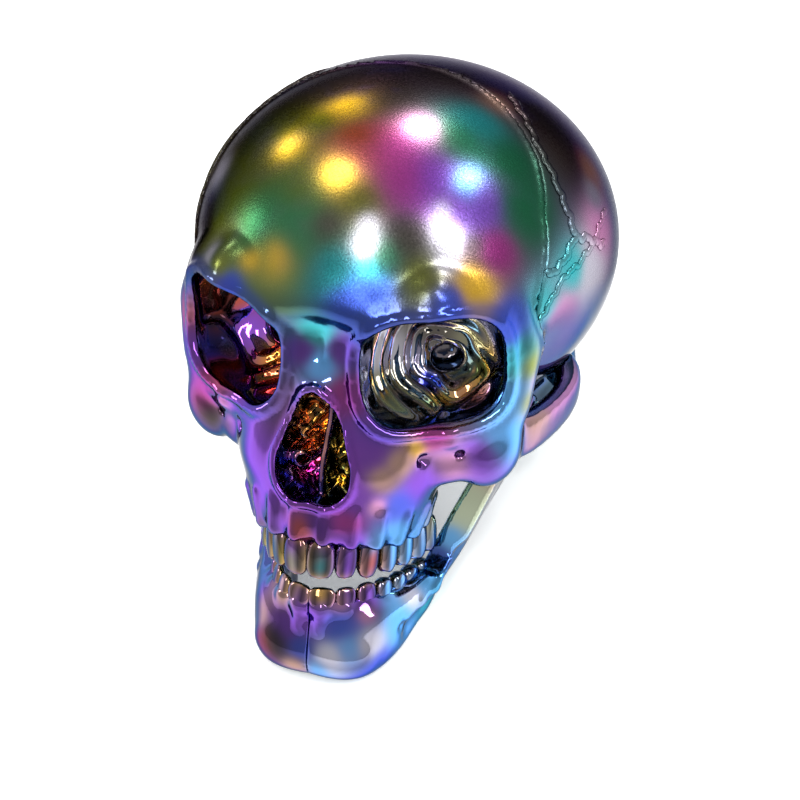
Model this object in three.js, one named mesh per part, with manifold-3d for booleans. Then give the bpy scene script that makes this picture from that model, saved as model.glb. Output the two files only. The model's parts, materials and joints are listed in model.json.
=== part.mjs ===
// Decorative skull with a moving jaw: a hollow front shell and rear shell, a jaw moulded in two
// halves, and the screw, washers and nut of each jaw pivot. Millimetres, +Z up, face towards -Y.
// The skull is shaped level, with its ear openings on the X axis, and is then tilted back onto
// the flats under its jaw and the back of its head.
import * as THREE from "three";
import { mergeVertices } from "three/addons/utils/BufferGeometryUtils.js";
import Module from "manifold-3d";

// Driving dimensions. Places and reaches on the skull are written as shares of the braincase's
// half sizes, measured from its middle, so that the whole skull follows these three.
const braincase = { halfWidth: 66, halfLength: 80, halfHeight: 57.5 };
const wall = 2.4;
const fitGap = 0.3;
const cutOverrun = 40;
const sameSpot = wall / 500;
const restTilt = THREE.MathUtils.degToRad(27);
const restFlatDepth = 0.8;

const crownLip = { thickness: 1.6, width: 5, hold: 3, fromShare: 0.1 };
const socket = { halfWidth: 23, halfHeight: 19.5, depth: 38, yaw: 24, pitch: -4, roll: -8 };
const noseOpening = { halfWidth: 12.8, halfHeight: 19, depth: 34, septum: 2.4, septumSetBack: 8 };
const rim = { girth: 3.4, bend: 3 };
const foramenRadius = 14;
const earRadius = 3.4;

const pivot = {
  eyeRadius: 6.5, eyeWidth: 7, neckRadius: 10.5, lugWidth: 6, lugReach: 14, recessGap: 1.2,
};
const screw = {
  shankRadius: 1.9, headRadius: 3.6, headHeight: 2.2, slotWidth: 0.9, tip: 1.5, boreGap: 0.3,
};
const screwDomeShares = [[1, 0], [1, 0.5], [0.7, 0.9], [0, 1]];
const washer = { radius: 4.6, thickness: 0.9 };
const nut = { radius: 4, thickness: 3.2, sides: 6 };

const upperTooth = { halfDepth: 4, halfHeight: 6.5, crowding: 0.97 };
const lowerTooth = { halfDepth: 3.2, halfHeight: 4.5, crowding: 0.97 };
const teethPerSide = 7;

const headSplitCount = 10;
const cavitySplitCount = 5;
const pocketSides = 16;
const archSides = 8;
const jawSides = 12;
const rimSides = 6;
const toothSides = 8;
const toothRings = 5;
const roundSides = 16;

// Shares of the braincase's half sizes. Those on the left side of the skull are mirrored.
const socketPlaceShares = [0.445, -0.77, -0.4];
const nosePlaceShares = [0, -0.92, -0.86];
const pivotPlaceShares = [0.63, 0.06, -0.93];
const foramenPlaceShares = [0, 0.42, -1.2];
const wrapCentreShares = [0, -0.3, -0.5];

const lobeShares = [
  { at: [0, 0, 0], reach: [1, 1, 1], blend: 0.1 },
  { at: [0, 0.51, -0.65], reach: [0.68, 0.51, 0.62], blend: 0.3 },
  { at: [0, -0.3, -0.7], reach: [0.57, 0.46, 0.42], blend: 0.22 },
  { at: [0, -0.63, -0.95], reach: [0.5, 0.34, 0.5], blend: 0.16 },
  { at: [0, -0.59, -1.3], reach: [0.395, 0.36, 0.24], blend: 0.14 },
  { at: [0.65, -0.56, -0.88], reach: [0.16, 0.12, 0.21], blend: 0.14 },
];
const ridgeShares = [
  { path: [[0, -0.96, -0.1], [0.22, -0.95, -0.12], [0.46, -0.88, -0.03]], girth: 0.075, blend: 0.12 },
  { path: [[0.46, -0.88, -0.03], [0.68, -0.72, -0.1], [0.78, -0.55, -0.33]], girth: 0.075, blend: 0.12 },
  { path: [[0.78, -0.56, -0.33], [0.77, -0.56, -0.62], [0.7, -0.57, -0.84]], girth: 0.07, blend: 0.12 },
  { path: [[0, -0.85, -0.22], [0, -0.93, -0.58]], girth: 0.085, blend: 0.09 },
  { path: [[0.14, -0.86, -0.36], [0.23, -0.82, -0.7], [0.27, -0.8, -1]], girth: 0.08, blend: 0.1 },
];
const dipShares = [
  { at: [1.2, -0.42, -0.5], reach: [0.34, 0.3, 0.42], blend: 0.12 },
  { at: [0, -1.1, -0.33], reach: [0.2, 0.16, 0.16], blend: 0.1 },
  { at: [0.74, -0.1, -1.45], reach: [0.3, 0.42, 0.5], blend: 0.1 },
];
// The seam between the shells, seen from the side: back from the brow, up over the crown.
const seamShares = [
  [-0.14, -1.9], [-0.14, -0.75], [-0.46, -0.5], [-0.57, -0.1],
  [-0.48, 0.36], [-0.28, 0.78], [-0.15, 1], [-0.15, 2],
];

const archShares = {
  path: [
    [0.68, -0.56, -0.84], [0.8, -0.4, -0.82], [0.86, -0.12, -0.76], [0.83, 0.06, -0.68], [0.66, 0.18, -0.58],
  ],
  girths: [[0.12], [0.095], [0.085], [0.09], [0.1]],
  flatness: 0.7,
};
// The jaw's stations from the chin back to the pivot: place across and along, lower and upper
// edge, thickness, and how far it leans outward as it rises from the level named below them.
const jawShares = [
  [-0.04, -0.8, -2.2, -1.78, 0.2, 0],
  [0.14, -0.79, -2.2, -1.78, 0.19, 0],
  [0.24, -0.725, -2.18, -1.77, 0.18, 0.03],
  [0.3, -0.61, -2.12, -1.75, 0.17, 0.1],
  [0.325, -0.49, -2.04, -1.7, 0.16, 0.21],
  [0.34, -0.4, -1.97, -1.64, 0.15, 0.34],
  [0.335, -0.35, -1.93, -1.05, 0.14, 0.38],
  [0.335, -0.315, -1.88, -0.86, 0.13, 0.38],
  [0.335, -0.255, -1.78, -0.93, 0.13, 0.38],
  [0.335, -0.19, -1.6, -1.04, 0.13, 0.37],
  [0.335, -0.11, -1.4, -1.06, 0.13, 0.37],
  [0.34, -0.03, -1.2, -0.94, 0.13, 0.36],
  [0.35, 0.04, -1.06, -0.88, 0.12, 0.35],
];
const jawLeanFromShare = -1.95;
const upperArchShares = { halfWidth: 0.365, front: -0.92, depth: 0.6, height: -1.47, filled: 0.9 };
const lowerArchShares = { halfWidth: 0.345, front: -0.87, depth: 0.58, height: -1.72, filled: 0.9 };
const mastoidShares = { at: [0.64, 0.4, -0.84], reach: [0.15, 0.12, 0.27] };
const chinShares = { at: [0.1, -0.79, -2.06], reach: [0.19, 0.09, 0.13] };

const wasm = await Module();
wasm.setup();

// A place given in shares, in millimetres from the middle between the ear openings.
const earShares = [0, 0.24, -0.71];
function place([x, y, z]) {
  return new THREE.Vector3(
    (x - earShares[0]) * braincase.halfWidth,
    (y - earShares[1]) * braincase.halfLength,
    (z - earShares[2]) * braincase.halfHeight,
  );
}

function reach([x, y, z]) {
  return new THREE.Vector3(x * braincase.halfWidth, y * braincase.halfLength, z * braincase.halfHeight);
}

function girth(share) {
  return share * braincase.halfWidth;
}

// Solids

function solidOf(geometry) {
  const bare = geometry.clone();
  bare.deleteAttribute("normal");
  bare.deleteAttribute("uv");
  const merged = mergeVertices(bare, sameSpot);
  return new wasm.Manifold(
    new wasm.Mesh({
      numProp: 3,
      vertProperties: merged.attributes.position.array,
      triVerts: new Uint32Array(merged.index.array),
    }),
  );
}

function geometryOf(solid) {
  const mesh = solid.getMesh();
  const geometry = new THREE.BufferGeometry();
  geometry.setAttribute("position", new THREE.BufferAttribute(mesh.vertProperties, 3));
  geometry.setIndex(new THREE.BufferAttribute(mesh.triVerts, 1));
  return geometry;
}

// Moves every vertex of a geometry by a function of its place.
function moved(geometry, move) {
  const spots = geometry.attributes.position;
  const spot = new THREE.Vector3();
  for (let i = 0; i < spots.count; i += 1) {
    move(spot.fromBufferAttribute(spots, i));
    spots.setXYZ(i, spot.x, spot.y, spot.z);
  }
  return geometry;
}

// The same solid on the other side of the skull, with its faces turned back outwards.
function mirrored(solid) {
  const geometry = geometryOf(solid).scale(-1, 1, 1);
  const corners = geometry.index.array;
  for (let i = 0; i < corners.length; i += 3) {
    [corners[i], corners[i + 1]] = [corners[i + 1], corners[i]];
  }
  return solidOf(geometry);
}

function onBothSides(solid) {
  return solid.add(mirrored(solid));
}

function union(solids) {
  return solids.reduce((joined, next) => joined.add(next));
}

// The largest body of a solid: the small ones that a cut leaves apart are dropped.
function largest(solid) {
  return solid.decompose().reduce((most, next) => (next.volume() > most.volume() ? next : most));
}

// Turns a shape drawn as seen from the skull's side, with its depth across the skull.
function fromTheSide(geometry) {
  const turn = new THREE.Matrix4();
  turn.makeBasis(new THREE.Vector3(0, 1, 0), new THREE.Vector3(0, 0, 1), new THREE.Vector3(1, 0, 0));
  return geometry.applyMatrix4(turn);
}

// The skull's outer form is a soft blend of lobes and ridges, less a few soft dips. Each
// function below gives a distance from a form's surface, negative inside it.

function lobeDistance(spot, middle, size) {
  const dx = spot.x - middle.x;
  const dy = spot.y - middle.y;
  const dz = spot.z - middle.z;
  const near = Math.hypot(dx / size.x, dy / size.y, dz / size.z);
  const slope = Math.hypot(dx / size.x ** 2, dy / size.y ** 2, dz / size.z ** 2);
  return (near * (near - 1)) / Math.max(slope, Number.EPSILON);
}

function ridgeDistance(spot, points, radius) {
  let nearest = Infinity;
  const along = new THREE.Line3();
  const foot = new THREE.Vector3();
  for (let i = 1; i < points.length; i += 1) {
    along.set(points[i - 1], points[i]);
    along.closestPointToPoint(spot, true, foot);
    nearest = Math.min(nearest, foot.distanceTo(spot) - radius);
  }
  return nearest;
}

function softUnion(a, b, width) {
  const part = THREE.MathUtils.clamp(0.5 + (0.5 * (b - a)) / width, 0, 1);
  return b + (a - b) * part - width * part * (1 - part);
}

const lobes = lobeShares.map((lobe) => ({
  middle: place(lobe.at),
  size: reach(lobe.reach),
  blend: girth(lobe.blend),
}));
const ridges = ridgeShares.map((ridge) => ({
  points: ridge.path.map(place),
  radius: girth(ridge.girth),
  blend: girth(ridge.blend),
}));
const dips = dipShares.map((dip) => ({
  middle: place(dip.at),
  size: reach(dip.reach),
  blend: girth(dip.blend),
}));

function headDistance(spot) {
  const half = new THREE.Vector3(Math.abs(spot.x), spot.y, spot.z);
  let distance = lobeDistance(half, lobes[0].middle, lobes[0].size);
  for (const lobe of lobes.slice(1)) {
    distance = softUnion(distance, lobeDistance(half, lobe.middle, lobe.size), lobe.blend);
  }
  for (const ridge of ridges) {
    distance = softUnion(distance, ridgeDistance(half, ridge.points, ridge.radius), ridge.blend);
  }
  for (const dip of dips) {
    distance = -softUnion(-distance, lobeDistance(half, dip.middle, dip.size), dip.blend);
  }
  return distance;
}

// A ball whose vertices are drawn in along rays until they meet the head's form, or the same
// form set in by a depth.
function wrappedHead(depth, detail) {
  const centre = place(wrapCentreShares);
  const far = braincase.halfLength + braincase.halfHeight;
  const spot = new THREE.Vector3();
  return moved(new THREE.IcosahedronGeometry(1, detail), (ray) => {
    ray.normalize();
    const isOutside = (length) => headDistance(spot.copy(centre).addScaledVector(ray, length)) > -depth;
    let outside = far;
    while (isOutside(outside - wall)) outside -= wall;
    let inside = outside - wall;
    while (outside - inside > wall / braincase.halfLength) {
      const middle = (outside + inside) / 2;
      if (isOutside(middle)) outside = middle;
      else inside = middle;
    }
    ray.multiplyScalar(inside).add(centre);
  });
}

// A factor that draws a point of the unit circle or ball out towards a square or a box.
function squaring(...sides) {
  const sum = sides.reduce((total, side) => total + Math.abs(side) ** 3, 0);
  return sum > 0 ? Math.cbrt(1 / sum) : 0;
}

// A bar made from a cylinder: each ring of it is placed by a function of its share along the bar
// and of the two sides of a unit circle.
function shapedBar(sides, along, shape) {
  const tube = new THREE.CylinderGeometry(1, 1, 1, sides, along);
  return solidOf(moved(tube, (spot) => spot.copy(shape(0.5 + spot.y, spot.x, spot.z))));
}

// The row of numbers at a share of the way down a table, run smoothly through its rows.
function rowAt(rows, share) {
  const run = THREE.MathUtils.clamp(share, 0, 1) * (rows.length - 1);
  const from = Math.min(Math.floor(run), rows.length - 2);
  const part = run - from;
  const row = (i) => rows[THREE.MathUtils.clamp(i, 0, rows.length - 1)];
  return rows[from].map((start, column) => {
    const end = rows[from + 1][column];
    const rise = (end - row(from - 1)[column]) / 2;
    const fall = (row(from + 2)[column] - start) / 2;
    const bend = 3 * (end - start) - 2 * rise - fall;
    const ease = 2 * (start - end) + rise + fall;
    return start + part * (rise + part * (bend + part * ease));
  });
}

// A socket's pocket, widest at the rim: a turned bowl squared towards its outline.
function socketPocket(extra) {
  const across = socket.halfWidth + extra;
  const up = socket.halfHeight + extra;
  const deep = socket.depth + extra;
  const rows = pocketSides / 4;
  const profile = [new THREE.Vector2(0, -deep)];
  for (let i = 1; i <= rows; i += 1) {
    const turn = ((i / rows) * Math.PI) / 2;
    profile.push(new THREE.Vector2(Math.sin(turn), -Math.cos(turn) * deep));
  }
  profile.push(new THREE.Vector2(1, cutOverrun / 2), new THREE.Vector2(0, cutOverrun / 2));
  const bowl = moved(new THREE.LatheGeometry(profile, pocketSides), (spot) => {
    const round = Math.hypot(spot.x, spot.z);
    const square = round > 0 ? squaring(spot.x / round, spot.z / round) : 0;
    spot.x *= square * across;
    spot.z *= square * up;
  });
  return solidOf(atSocket(bowl.rotateX(Math.PI)));
}

// Places what is made round the Y axis, its front towards -Y, at the left eye socket.
function atSocket(geometry) {
  geometry.rotateY(THREE.MathUtils.degToRad(socket.roll));
  geometry.rotateX(THREE.MathUtils.degToRad(-socket.pitch));
  geometry.rotateZ(THREE.MathUtils.degToRad(socket.yaw));
  return geometry.translate(...place(socketPlaceShares));
}

// A rounded knob of bone.
function knob(shares) {
  const ball = new THREE.SphereGeometry(1, jawSides, jawSides / 2);
  ball.scale(...reach(shares.reach));
  return solidOf(ball.translate(...place(shares.at)));
}

// The rolled rim round a socket: a ring squared like its outline and bent back at its outer end.
function socketRim() {
  const ring = new THREE.TorusGeometry(1, rim.girth / socket.halfHeight, rimSides, pocketSides);
  moved(ring.rotateX(Math.PI / 2), (spot) => {
    const round = Math.hypot(spot.x, spot.z);
    const square = squaring(spot.x / round, spot.z / round);
    const x = spot.x * square;
    const z = spot.z * square;
    const back = Math.max(x, 0) ** 2 * rim.bend;
    spot.set(x, spot.y * socket.halfHeight + back, z);
    spot.x *= socket.halfWidth + wall;
    spot.z *= socket.halfHeight + wall;
  });
  return solidOf(atSocket(ring));
}

// The nose opening, pear-shaped from the front.
function nosePocket(extra) {
  const wide = noseOpening.halfWidth + extra;
  const high = noseOpening.halfHeight + extra;
  const pearShares = [
    [0.45, 1, 0.75, 0.3, 1, -0.25],
    [1.1, -0.95, 0.4, -1.02, 0, -0.92],
    [-0.4, -1.02, -1.1, -0.95, -1, -0.25],
    [-0.75, 0.3, -0.45, 1, 0, 1],
  ];
  const outline = new THREE.Shape();
  outline.moveTo(0, high);
  for (const curve of pearShares) {
    outline.bezierCurveTo(...curve.map((share, i) => share * (i % 2 ? high : wide)));
  }
  const deep = noseOpening.depth + extra;
  const block = new THREE.ExtrudeGeometry(outline, {
    depth: deep + cutOverrun,
    bevelEnabled: false,
    curveSegments: pocketSides / 4,
  });
  block.rotateX(Math.PI / 2);
  const middle = place(nosePlaceShares);
  block.translate(middle.x, middle.y + deep, middle.z);
  return solidOf(block);
}

// The upright wall that parts the nose opening, set back from its edge.
function septum() {
  const height = 2 * (noseOpening.halfHeight + wall);
  const plate = new THREE.BoxGeometry(noseOpening.septum, noseOpening.depth, height);
  const middle = place(nosePlaceShares);
  plate.translate(middle.x, middle.y + noseOpening.depth / 2 + noseOpening.septumSetBack, middle.z);
  return solidOf(plate);
}

// The arch of the cheekbone, from the cheek back to the temple.
function cheekArch() {
  const path = new THREE.CatmullRomCurve3(archShares.path.map(place));
  const up = new THREE.Vector3(0, 0, 1);
  return shapedBar(archSides, path.points.length * 2, (share, side, rise) => {
    const [half] = rowAt(archShares.girths, share);
    const outward = new THREE.Vector3().crossVectors(path.getTangent(share), up).normalize();
    const square = squaring(side, rise) * girth(half);
    return path
      .getPoint(share)
      .addScaledVector(outward, side * square * archShares.flatness)
      .addScaledVector(up, rise * square);
  });
}

// One tooth, its root buried in the gum ridge: a ball drawn out towards a box.
function tooth(size, middle, turn) {
  const crown = moved(new THREE.SphereGeometry(1, toothSides, toothRings), (spot) => {
    spot.multiplyScalar(squaring(spot.x, spot.y, spot.z));
    spot.set(spot.x * size.halfWidth, spot.y * size.halfDepth, spot.z * size.halfHeight);
  });
  crown.rotateZ(turn);
  crown.translate(...middle);
  return solidOf(crown);
}

// The teeth of one side, side by side along half an oval from the front towards the back.
function toothRow(size, archOf) {
  const front = place([0, archOf.front, archOf.height]);
  const wide = archOf.halfWidth * braincase.halfWidth;
  const deep = archOf.depth * braincase.halfLength;
  const oval = new THREE.EllipseCurve(0, front.y + deep, wide, deep, -Math.PI / 2, 0);
  const whole = oval.getLength();
  const teeth = [];
  for (let i = 0; i < teethPerSide; i += 1) {
    const share = ((i + 0.5) / teethPerSide) * archOf.filled;
    const spot = oval.getPointAt(share);
    const tangent = oval.getTangentAt(share);
    const width = (whole * archOf.filled) / teethPerSide / 2;
    const own = { ...size, halfWidth: width * size.crowding };
    const turn = Math.atan2(tangent.y, tangent.x);
    teeth.push(tooth(own, new THREE.Vector3(spot.x, spot.y, front.z), turn));
  }
  return union(teeth);
}

// All that lies behind the seam, moved back by a gap, as a block wider than the skull.
function behindSeam(gap) {
  const points = seamShares.map(([along, up]) => place([0, along, up]));
  const back = 2 * braincase.halfLength;
  const outline = new THREE.Shape();
  outline.moveTo(back, points[0].z);
  outline.lineTo(back, points[points.length - 1].z);
  for (const point of points.reverse()) outline.lineTo(point.y + gap, point.z);
  outline.closePath();
  const width = 4 * braincase.halfWidth;
  const block = new THREE.ExtrudeGeometry(outline, { depth: width, bevelEnabled: false });
  block.translate(0, 0, -width / 2);
  return solidOf(fromTheSide(block));
}

// All that lies above a height share, as a block wider than the skull.
function above(heightShare) {
  const size = 4 * braincase.halfLength;
  const block = new THREE.BoxGeometry(size, size, size);
  block.translate(0, 0, place([0, 0, heightShare]).z + size / 2);
  return solidOf(block);
}

// Height above the table of the lowest point of a solid, once the skull is tilted back.
function lowestWhenTilted(solid) {
  const geometry = geometryOf(solid).rotateX(-restTilt);
  geometry.computeBoundingBox();
  return geometry.boundingBox.min.z;
}

function underTable(level) {
  const size = 8 * braincase.halfLength;
  const block = new THREE.BoxGeometry(size, size, size);
  block.translate(0, 0, level - size / 2);
  return solidOf(block.rotateX(restTilt));
}

// A round bar along the pivot's axis, from one place across the skull to another.
function acrossPivot(radius, from, to, sides = roundSides) {
  const bar = new THREE.CylinderGeometry(radius, radius, to - from, sides);
  bar.rotateZ(Math.PI / 2);
  const middle = place(pivotPlaceShares);
  bar.translate((from + to) / 2, middle.y, middle.z);
  return solidOf(bar);
}

const pivotX = place(pivotPlaceShares).x;
const eyeInner = pivotX - pivot.eyeWidth / 2;
const eyeOuter = pivotX + pivot.eyeWidth / 2;
const lugOuter = eyeInner - fitGap;
const lugInner = lugOuter - pivot.lugWidth;
const washerInner = eyeOuter + fitGap;
const washerOuter = washerInner + washer.thickness;
const headInner = washerOuter + fitGap;
const nutOuter = lugInner - fitGap;
const nutInner = nutOuter - nut.thickness;

const outerHead = solidOf(wrappedHead(0, headSplitCount));
const headCavity = solidOf(wrappedHead(wall, cavitySplitCount));

function frontShell() {
  const pocketWalls = onBothSides(socketPocket(wall)).add(nosePocket(wall)).intersect(outerHead);
  const pockets = onBothSides(socketPocket(0)).add(nosePocket(0));
  const hollow = largest(headCavity.subtract(pocketWalls));
  const skin = outerHead.subtract(hollow).subtract(behindSeam(0));
  const arch = cheekArch().subtract(solidOf(wrappedHead(-fitGap, headSplitCount)).intersect(behindSeam(0)));
  const teeth = toothRow(upperTooth, upperArchShares);
  const rims = onBothSides(socketRim()).subtract(solidOf(wrappedHead(rim.girth, cavitySplitCount)));
  const face = skin.add(pocketWalls).add(rims).subtract(pockets);
  return largest(face.add(septum()).add(onBothSides(largest(arch).add(teeth))));
}

// The lip inside the crown that the front shell slips over.
function crownLipRing() {
  const outside = solidOf(wrappedHead(wall + fitGap, cavitySplitCount));
  const inside = solidOf(wrappedHead(wall + fitGap + crownLip.thickness, cavitySplitCount));
  const band = behindSeam(-crownLip.width).subtract(behindSeam(crownLip.hold));
  return outside.subtract(inside).intersect(band).intersect(above(crownLip.fromShare));
}

function pivotLug() {
  const middle = place(pivotPlaceShares);
  const outline = new THREE.Shape();
  const top = middle.z + pivot.lugReach;
  outline.moveTo(middle.y + pivot.eyeRadius, top);
  outline.lineTo(middle.y - pivot.eyeRadius, top);
  outline.lineTo(middle.y - pivot.eyeRadius, middle.z);
  outline.absarc(middle.y, middle.z, pivot.eyeRadius, Math.PI, 2 * Math.PI, false);
  outline.closePath();
  const plate = new THREE.ExtrudeGeometry(outline, {
    depth: pivot.lugWidth,
    bevelEnabled: false,
    curveSegments: roundSides / 2,
  });
  plate.translate(0, 0, lugInner);
  return solidOf(fromTheSide(plate));
}

// The pocket in the skull's base that takes the nut and the tip of the screw.
function nutTrap() {
  const tip = nutInner - screw.tip - pivot.recessGap;
  return acrossPivot(nut.radius + pivot.recessGap, tip, lugInner);
}

function rearShell(tableLevel) {
  const skin = outerHead.subtract(headCavity).intersect(behindSeam(fitGap));
  const hole = new THREE.CylinderGeometry(foramenRadius, foramenRadius, cutOverrun, roundSides);
  hole.rotateX(Math.PI / 2);
  hole.translate(...place(foramenPlaceShares));
  const recess = acrossPivot(pivot.eyeRadius + pivot.recessGap, lugOuter, lugOuter + cutOverrun);
  const ear = new THREE.CylinderGeometry(earRadius, earRadius, cutOverrun, roundSides);
  ear.rotateZ(Math.PI / 2);
  ear.translate(braincase.halfWidth, 0, 0);
  const pockets = socketPocket(wall + fitGap).add(nutTrap()).add(solidOf(ear));
  const cuts = onBothSides(recess.add(pockets));
  const shell = largest(skin.subtract(solidOf(hole)).subtract(cuts));
  const fittings = onBothSides(pivotLug().add(knob(mastoidShares)));
  const bore = acrossPivot(screw.shankRadius + screw.boreGap, nutInner, lugOuter + cutOverrun);
  const whole = shell.add(fittings).add(crownLipRing()).subtract(onBothSides(bore));
  return largest(whole.subtract(underTable(tableLevel)));
}

// One half of the jaw: chin, body, upright branch with its two horns, teeth and pivot eye.
function jawHalf() {
  const rowOf = (share) => {
    const [across, along, bottom, top, thick, lean] = rowAt(jawShares, share);
    const low = place([across, along, bottom]);
    const high = place([across, along, top]);
    return { low, high, thick: girth(thick), lean };
  };
  const leanLevel = place([0, 0, jawLeanFromShare]).z;
  const bar = shapedBar(jawSides, 2 * jawShares.length, (share, side, rise) => {
    const row = rowOf(share);
    const step = 1 / (4 * jawShares.length);
    const ahead = rowOf(share + step).low.sub(rowOf(share - step).low).setZ(0).normalize();
    const square = squaring(side, rise);
    const spot = row.low.clone().lerp(row.high, (1 + rise * square) / 2);
    spot.x += row.lean * (spot.z - leanLevel) + (ahead.y * side * square * row.thick) / 2;
    spot.y -= (ahead.x * side * square * row.thick) / 2;
    return spot;
  });
  const eye = acrossPivot(pivot.eyeRadius, eyeInner, eyeOuter);
  const bore = acrossPivot(screw.shankRadius + screw.boreGap, eyeInner - cutOverrun, eyeOuter + cutOverrun);
  const otherSide = new THREE.BoxGeometry(cutOverrun, 4 * braincase.halfLength, 4 * braincase.halfLength);
  otherSide.translate((fitGap - cutOverrun) / 2, 0, 0);
  const slot = acrossPivot(pivot.neckRadius, lugInner - cutOverrun, eyeInner);
  const outside = acrossPivot(pivot.eyeRadius + fitGap, eyeOuter, eyeOuter + cutOverrun);
  return bar
    .add(knob(chinShares))
    .add(toothRow(lowerTooth, lowerArchShares))
    .subtract(slot)
    .subtract(outside)
    .add(eye)
    .subtract(bore)
    .subtract(solidOf(otherSide));
}

// The outline of the screw's head, from its underside up to its crown.
function domeOf(shares) {
  return shares.map(([out, up]) => new THREE.Vector2(out * screw.headRadius, up * screw.headHeight));
}

function pivotScrew() {
  const length = headInner - nutInner + screw.tip;
  const profile = [
    new THREE.Vector2(0, -length),
    new THREE.Vector2(screw.shankRadius - fitGap, -length),
    new THREE.Vector2(screw.shankRadius, screw.tip - length),
    new THREE.Vector2(screw.shankRadius, 0),
    ...domeOf(screwDomeShares),
  ];
  const turned = new THREE.LatheGeometry(profile, roundSides);
  const slot = new THREE.BoxGeometry(2 * screw.headRadius, screw.headHeight, screw.slotWidth);
  slot.translate(0, screw.headHeight, 0);
  const whole = geometryOf(solidOf(turned).subtract(solidOf(slot)));
  whole.rotateZ(-Math.PI / 2);
  const middle = place(pivotPlaceShares);
  whole.translate(headInner, middle.y, middle.z);
  return solidOf(whole);
}

function pivotWasher() {
  const bore = acrossPivot(screw.shankRadius + screw.boreGap, washerInner - fitGap, washerOuter + fitGap);
  return acrossPivot(washer.radius, washerInner, washerOuter).subtract(bore);
}

function pivotNut() {
  const bore = acrossPivot(screw.shankRadius + screw.boreGap, nutInner - cutOverrun, nutOuter + cutOverrun);
  return acrossPivot(nut.radius, nutInner, nutOuter, nut.sides).subtract(bore);
}

// Finishes: thin rainbow metal over moulded plastic, and plain bright steel for the fixings.
function rainbowMetal(colour) {
  return new THREE.MeshStandardMaterial({ color: colour, roughness: 0.18, metalness: 1 });
}

function steel() {
  return new THREE.MeshStandardMaterial({ color: 0xb9bdc4, roughness: 0.35, metalness: 1 });
}

function named(name, solid, material) {
  const geometry = geometryOf(solid).toNonIndexed();
  geometry.computeVertexNormals();
  const mesh = new THREE.Mesh(geometry, material);
  mesh.name = name;
  return mesh;
}

const jaw = jawHalf();
const restLevel = Math.max(lowestWhenTilted(jaw), lowestWhenTilted(outerHead)) + restFlatDepth;
const jawLeft = largest(jaw.subtract(underTable(restLevel)));

const skull = new THREE.Group();
skull.add(named("front_shell", frontShell(), rainbowMetal(0x6a5f93)));
skull.add(named("rear_shell", rearShell(restLevel), rainbowMetal(0x5e7a86)));
skull.add(named("jaw_left", jawLeft, rainbowMetal(0x5f7fb5)));
skull.add(named("jaw_right", mirrored(jawLeft), rainbowMetal(0x6b5a9c)));
for (const [side, turned] of [["left", (solid) => solid], ["right", mirrored]]) {
  skull.add(named(`pivot_screw_${side}`, turned(pivotScrew()), steel()));
  skull.add(named(`pivot_washer_${side}`, turned(pivotWasher()), steel()));
  skull.add(named(`pivot_nut_${side}`, turned(pivotNut()), steel()));
}

// The skull lies back on its flats, with the middle of its outline over the origin.
skull.rotation.x = -restTilt;
const outline = new THREE.Box3().setFromObject(skull, true);
skull.position.set(0, -(outline.min.y + outline.max.y) / 2, -restLevel);
skull.name = "skull";

export default new THREE.Group().add(skull);
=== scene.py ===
# %% [markdown]
# # A skull ornament in rainbow metal
# The real ornament is a hollow plastic moulding in two shells, with a jaw in two halves that
# swings on a screw below each cheek arch. Under a thin clear film its skin is bright metal, so
# nearly all that the eye sees is reflection. A chrome-like skin shows every dent of its mesh,
# so the shapes here are made as smooth distance fields first and turned into meshes last.

# %% Load the frame
import json
import math
import bpy
import numpy as np
import openvdb
from mathutils import Matrix, Vector


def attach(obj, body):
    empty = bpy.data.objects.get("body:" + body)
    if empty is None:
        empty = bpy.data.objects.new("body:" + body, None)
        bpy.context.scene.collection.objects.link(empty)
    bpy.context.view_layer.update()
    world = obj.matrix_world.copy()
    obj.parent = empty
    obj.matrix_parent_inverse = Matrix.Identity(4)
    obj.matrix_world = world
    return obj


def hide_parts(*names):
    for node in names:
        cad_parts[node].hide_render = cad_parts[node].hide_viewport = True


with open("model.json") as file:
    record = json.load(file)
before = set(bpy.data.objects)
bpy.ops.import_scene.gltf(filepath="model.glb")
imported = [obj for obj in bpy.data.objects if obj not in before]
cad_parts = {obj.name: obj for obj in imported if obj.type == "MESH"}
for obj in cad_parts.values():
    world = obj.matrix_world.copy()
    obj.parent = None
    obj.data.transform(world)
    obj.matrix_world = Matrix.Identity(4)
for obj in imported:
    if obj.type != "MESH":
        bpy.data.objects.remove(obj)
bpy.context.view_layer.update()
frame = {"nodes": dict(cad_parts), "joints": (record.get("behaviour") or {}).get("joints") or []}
print("CAD nodes:", sorted(frame["nodes"]))

# %% [markdown]
# The skull is shaped level, in millimetres, and then laid back on the table as the frame has it.
# Places and reaches are shares of the braincase's half sizes, as in the frame's own source.
# The jaw's pivot is the one point that both frames name, so it ties the two together.

# %% Driving sizes, in millimetres
MM = 0.001
BRAINCASE = np.array([66.0, 80.0, 57.5])
EAR_SHARES = np.array([0.0, 0.24, -0.71])
PIVOT_SHARES = np.array([0.63, 0.06, -0.93])
REST_TILT = math.radians(27)
WALL = 2.4
SEAM_GAP = 0.3


def place(*shares):
    """A place given in shares of the braincase, from the middle between the ears."""
    return (np.array(shares) - EAR_SHARES) * BRAINCASE


def reach(*shares):
    """Half sizes given in shares of the braincase's own."""
    return np.array(shares) * BRAINCASE


def girth(share):
    """A width given as a share of the braincase's half width."""
    return share * BRAINCASE[0]


TILT = np.array(Matrix.Rotation(-REST_TILT, 3, "X"))
PIVOT = place(*PIVOT_SHARES)
pivot_row = np.array(frame["joints"][0]["pos_m"]) / MM
LAID_AT = pivot_row - TILT @ (PIVOT * np.array([0, 1, 1]))


def laid(points):
    """Level millimetres to the row frame's metres: turn about X, move, scale."""
    return (points @ TILT.T + LAID_AT) * MM


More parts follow.
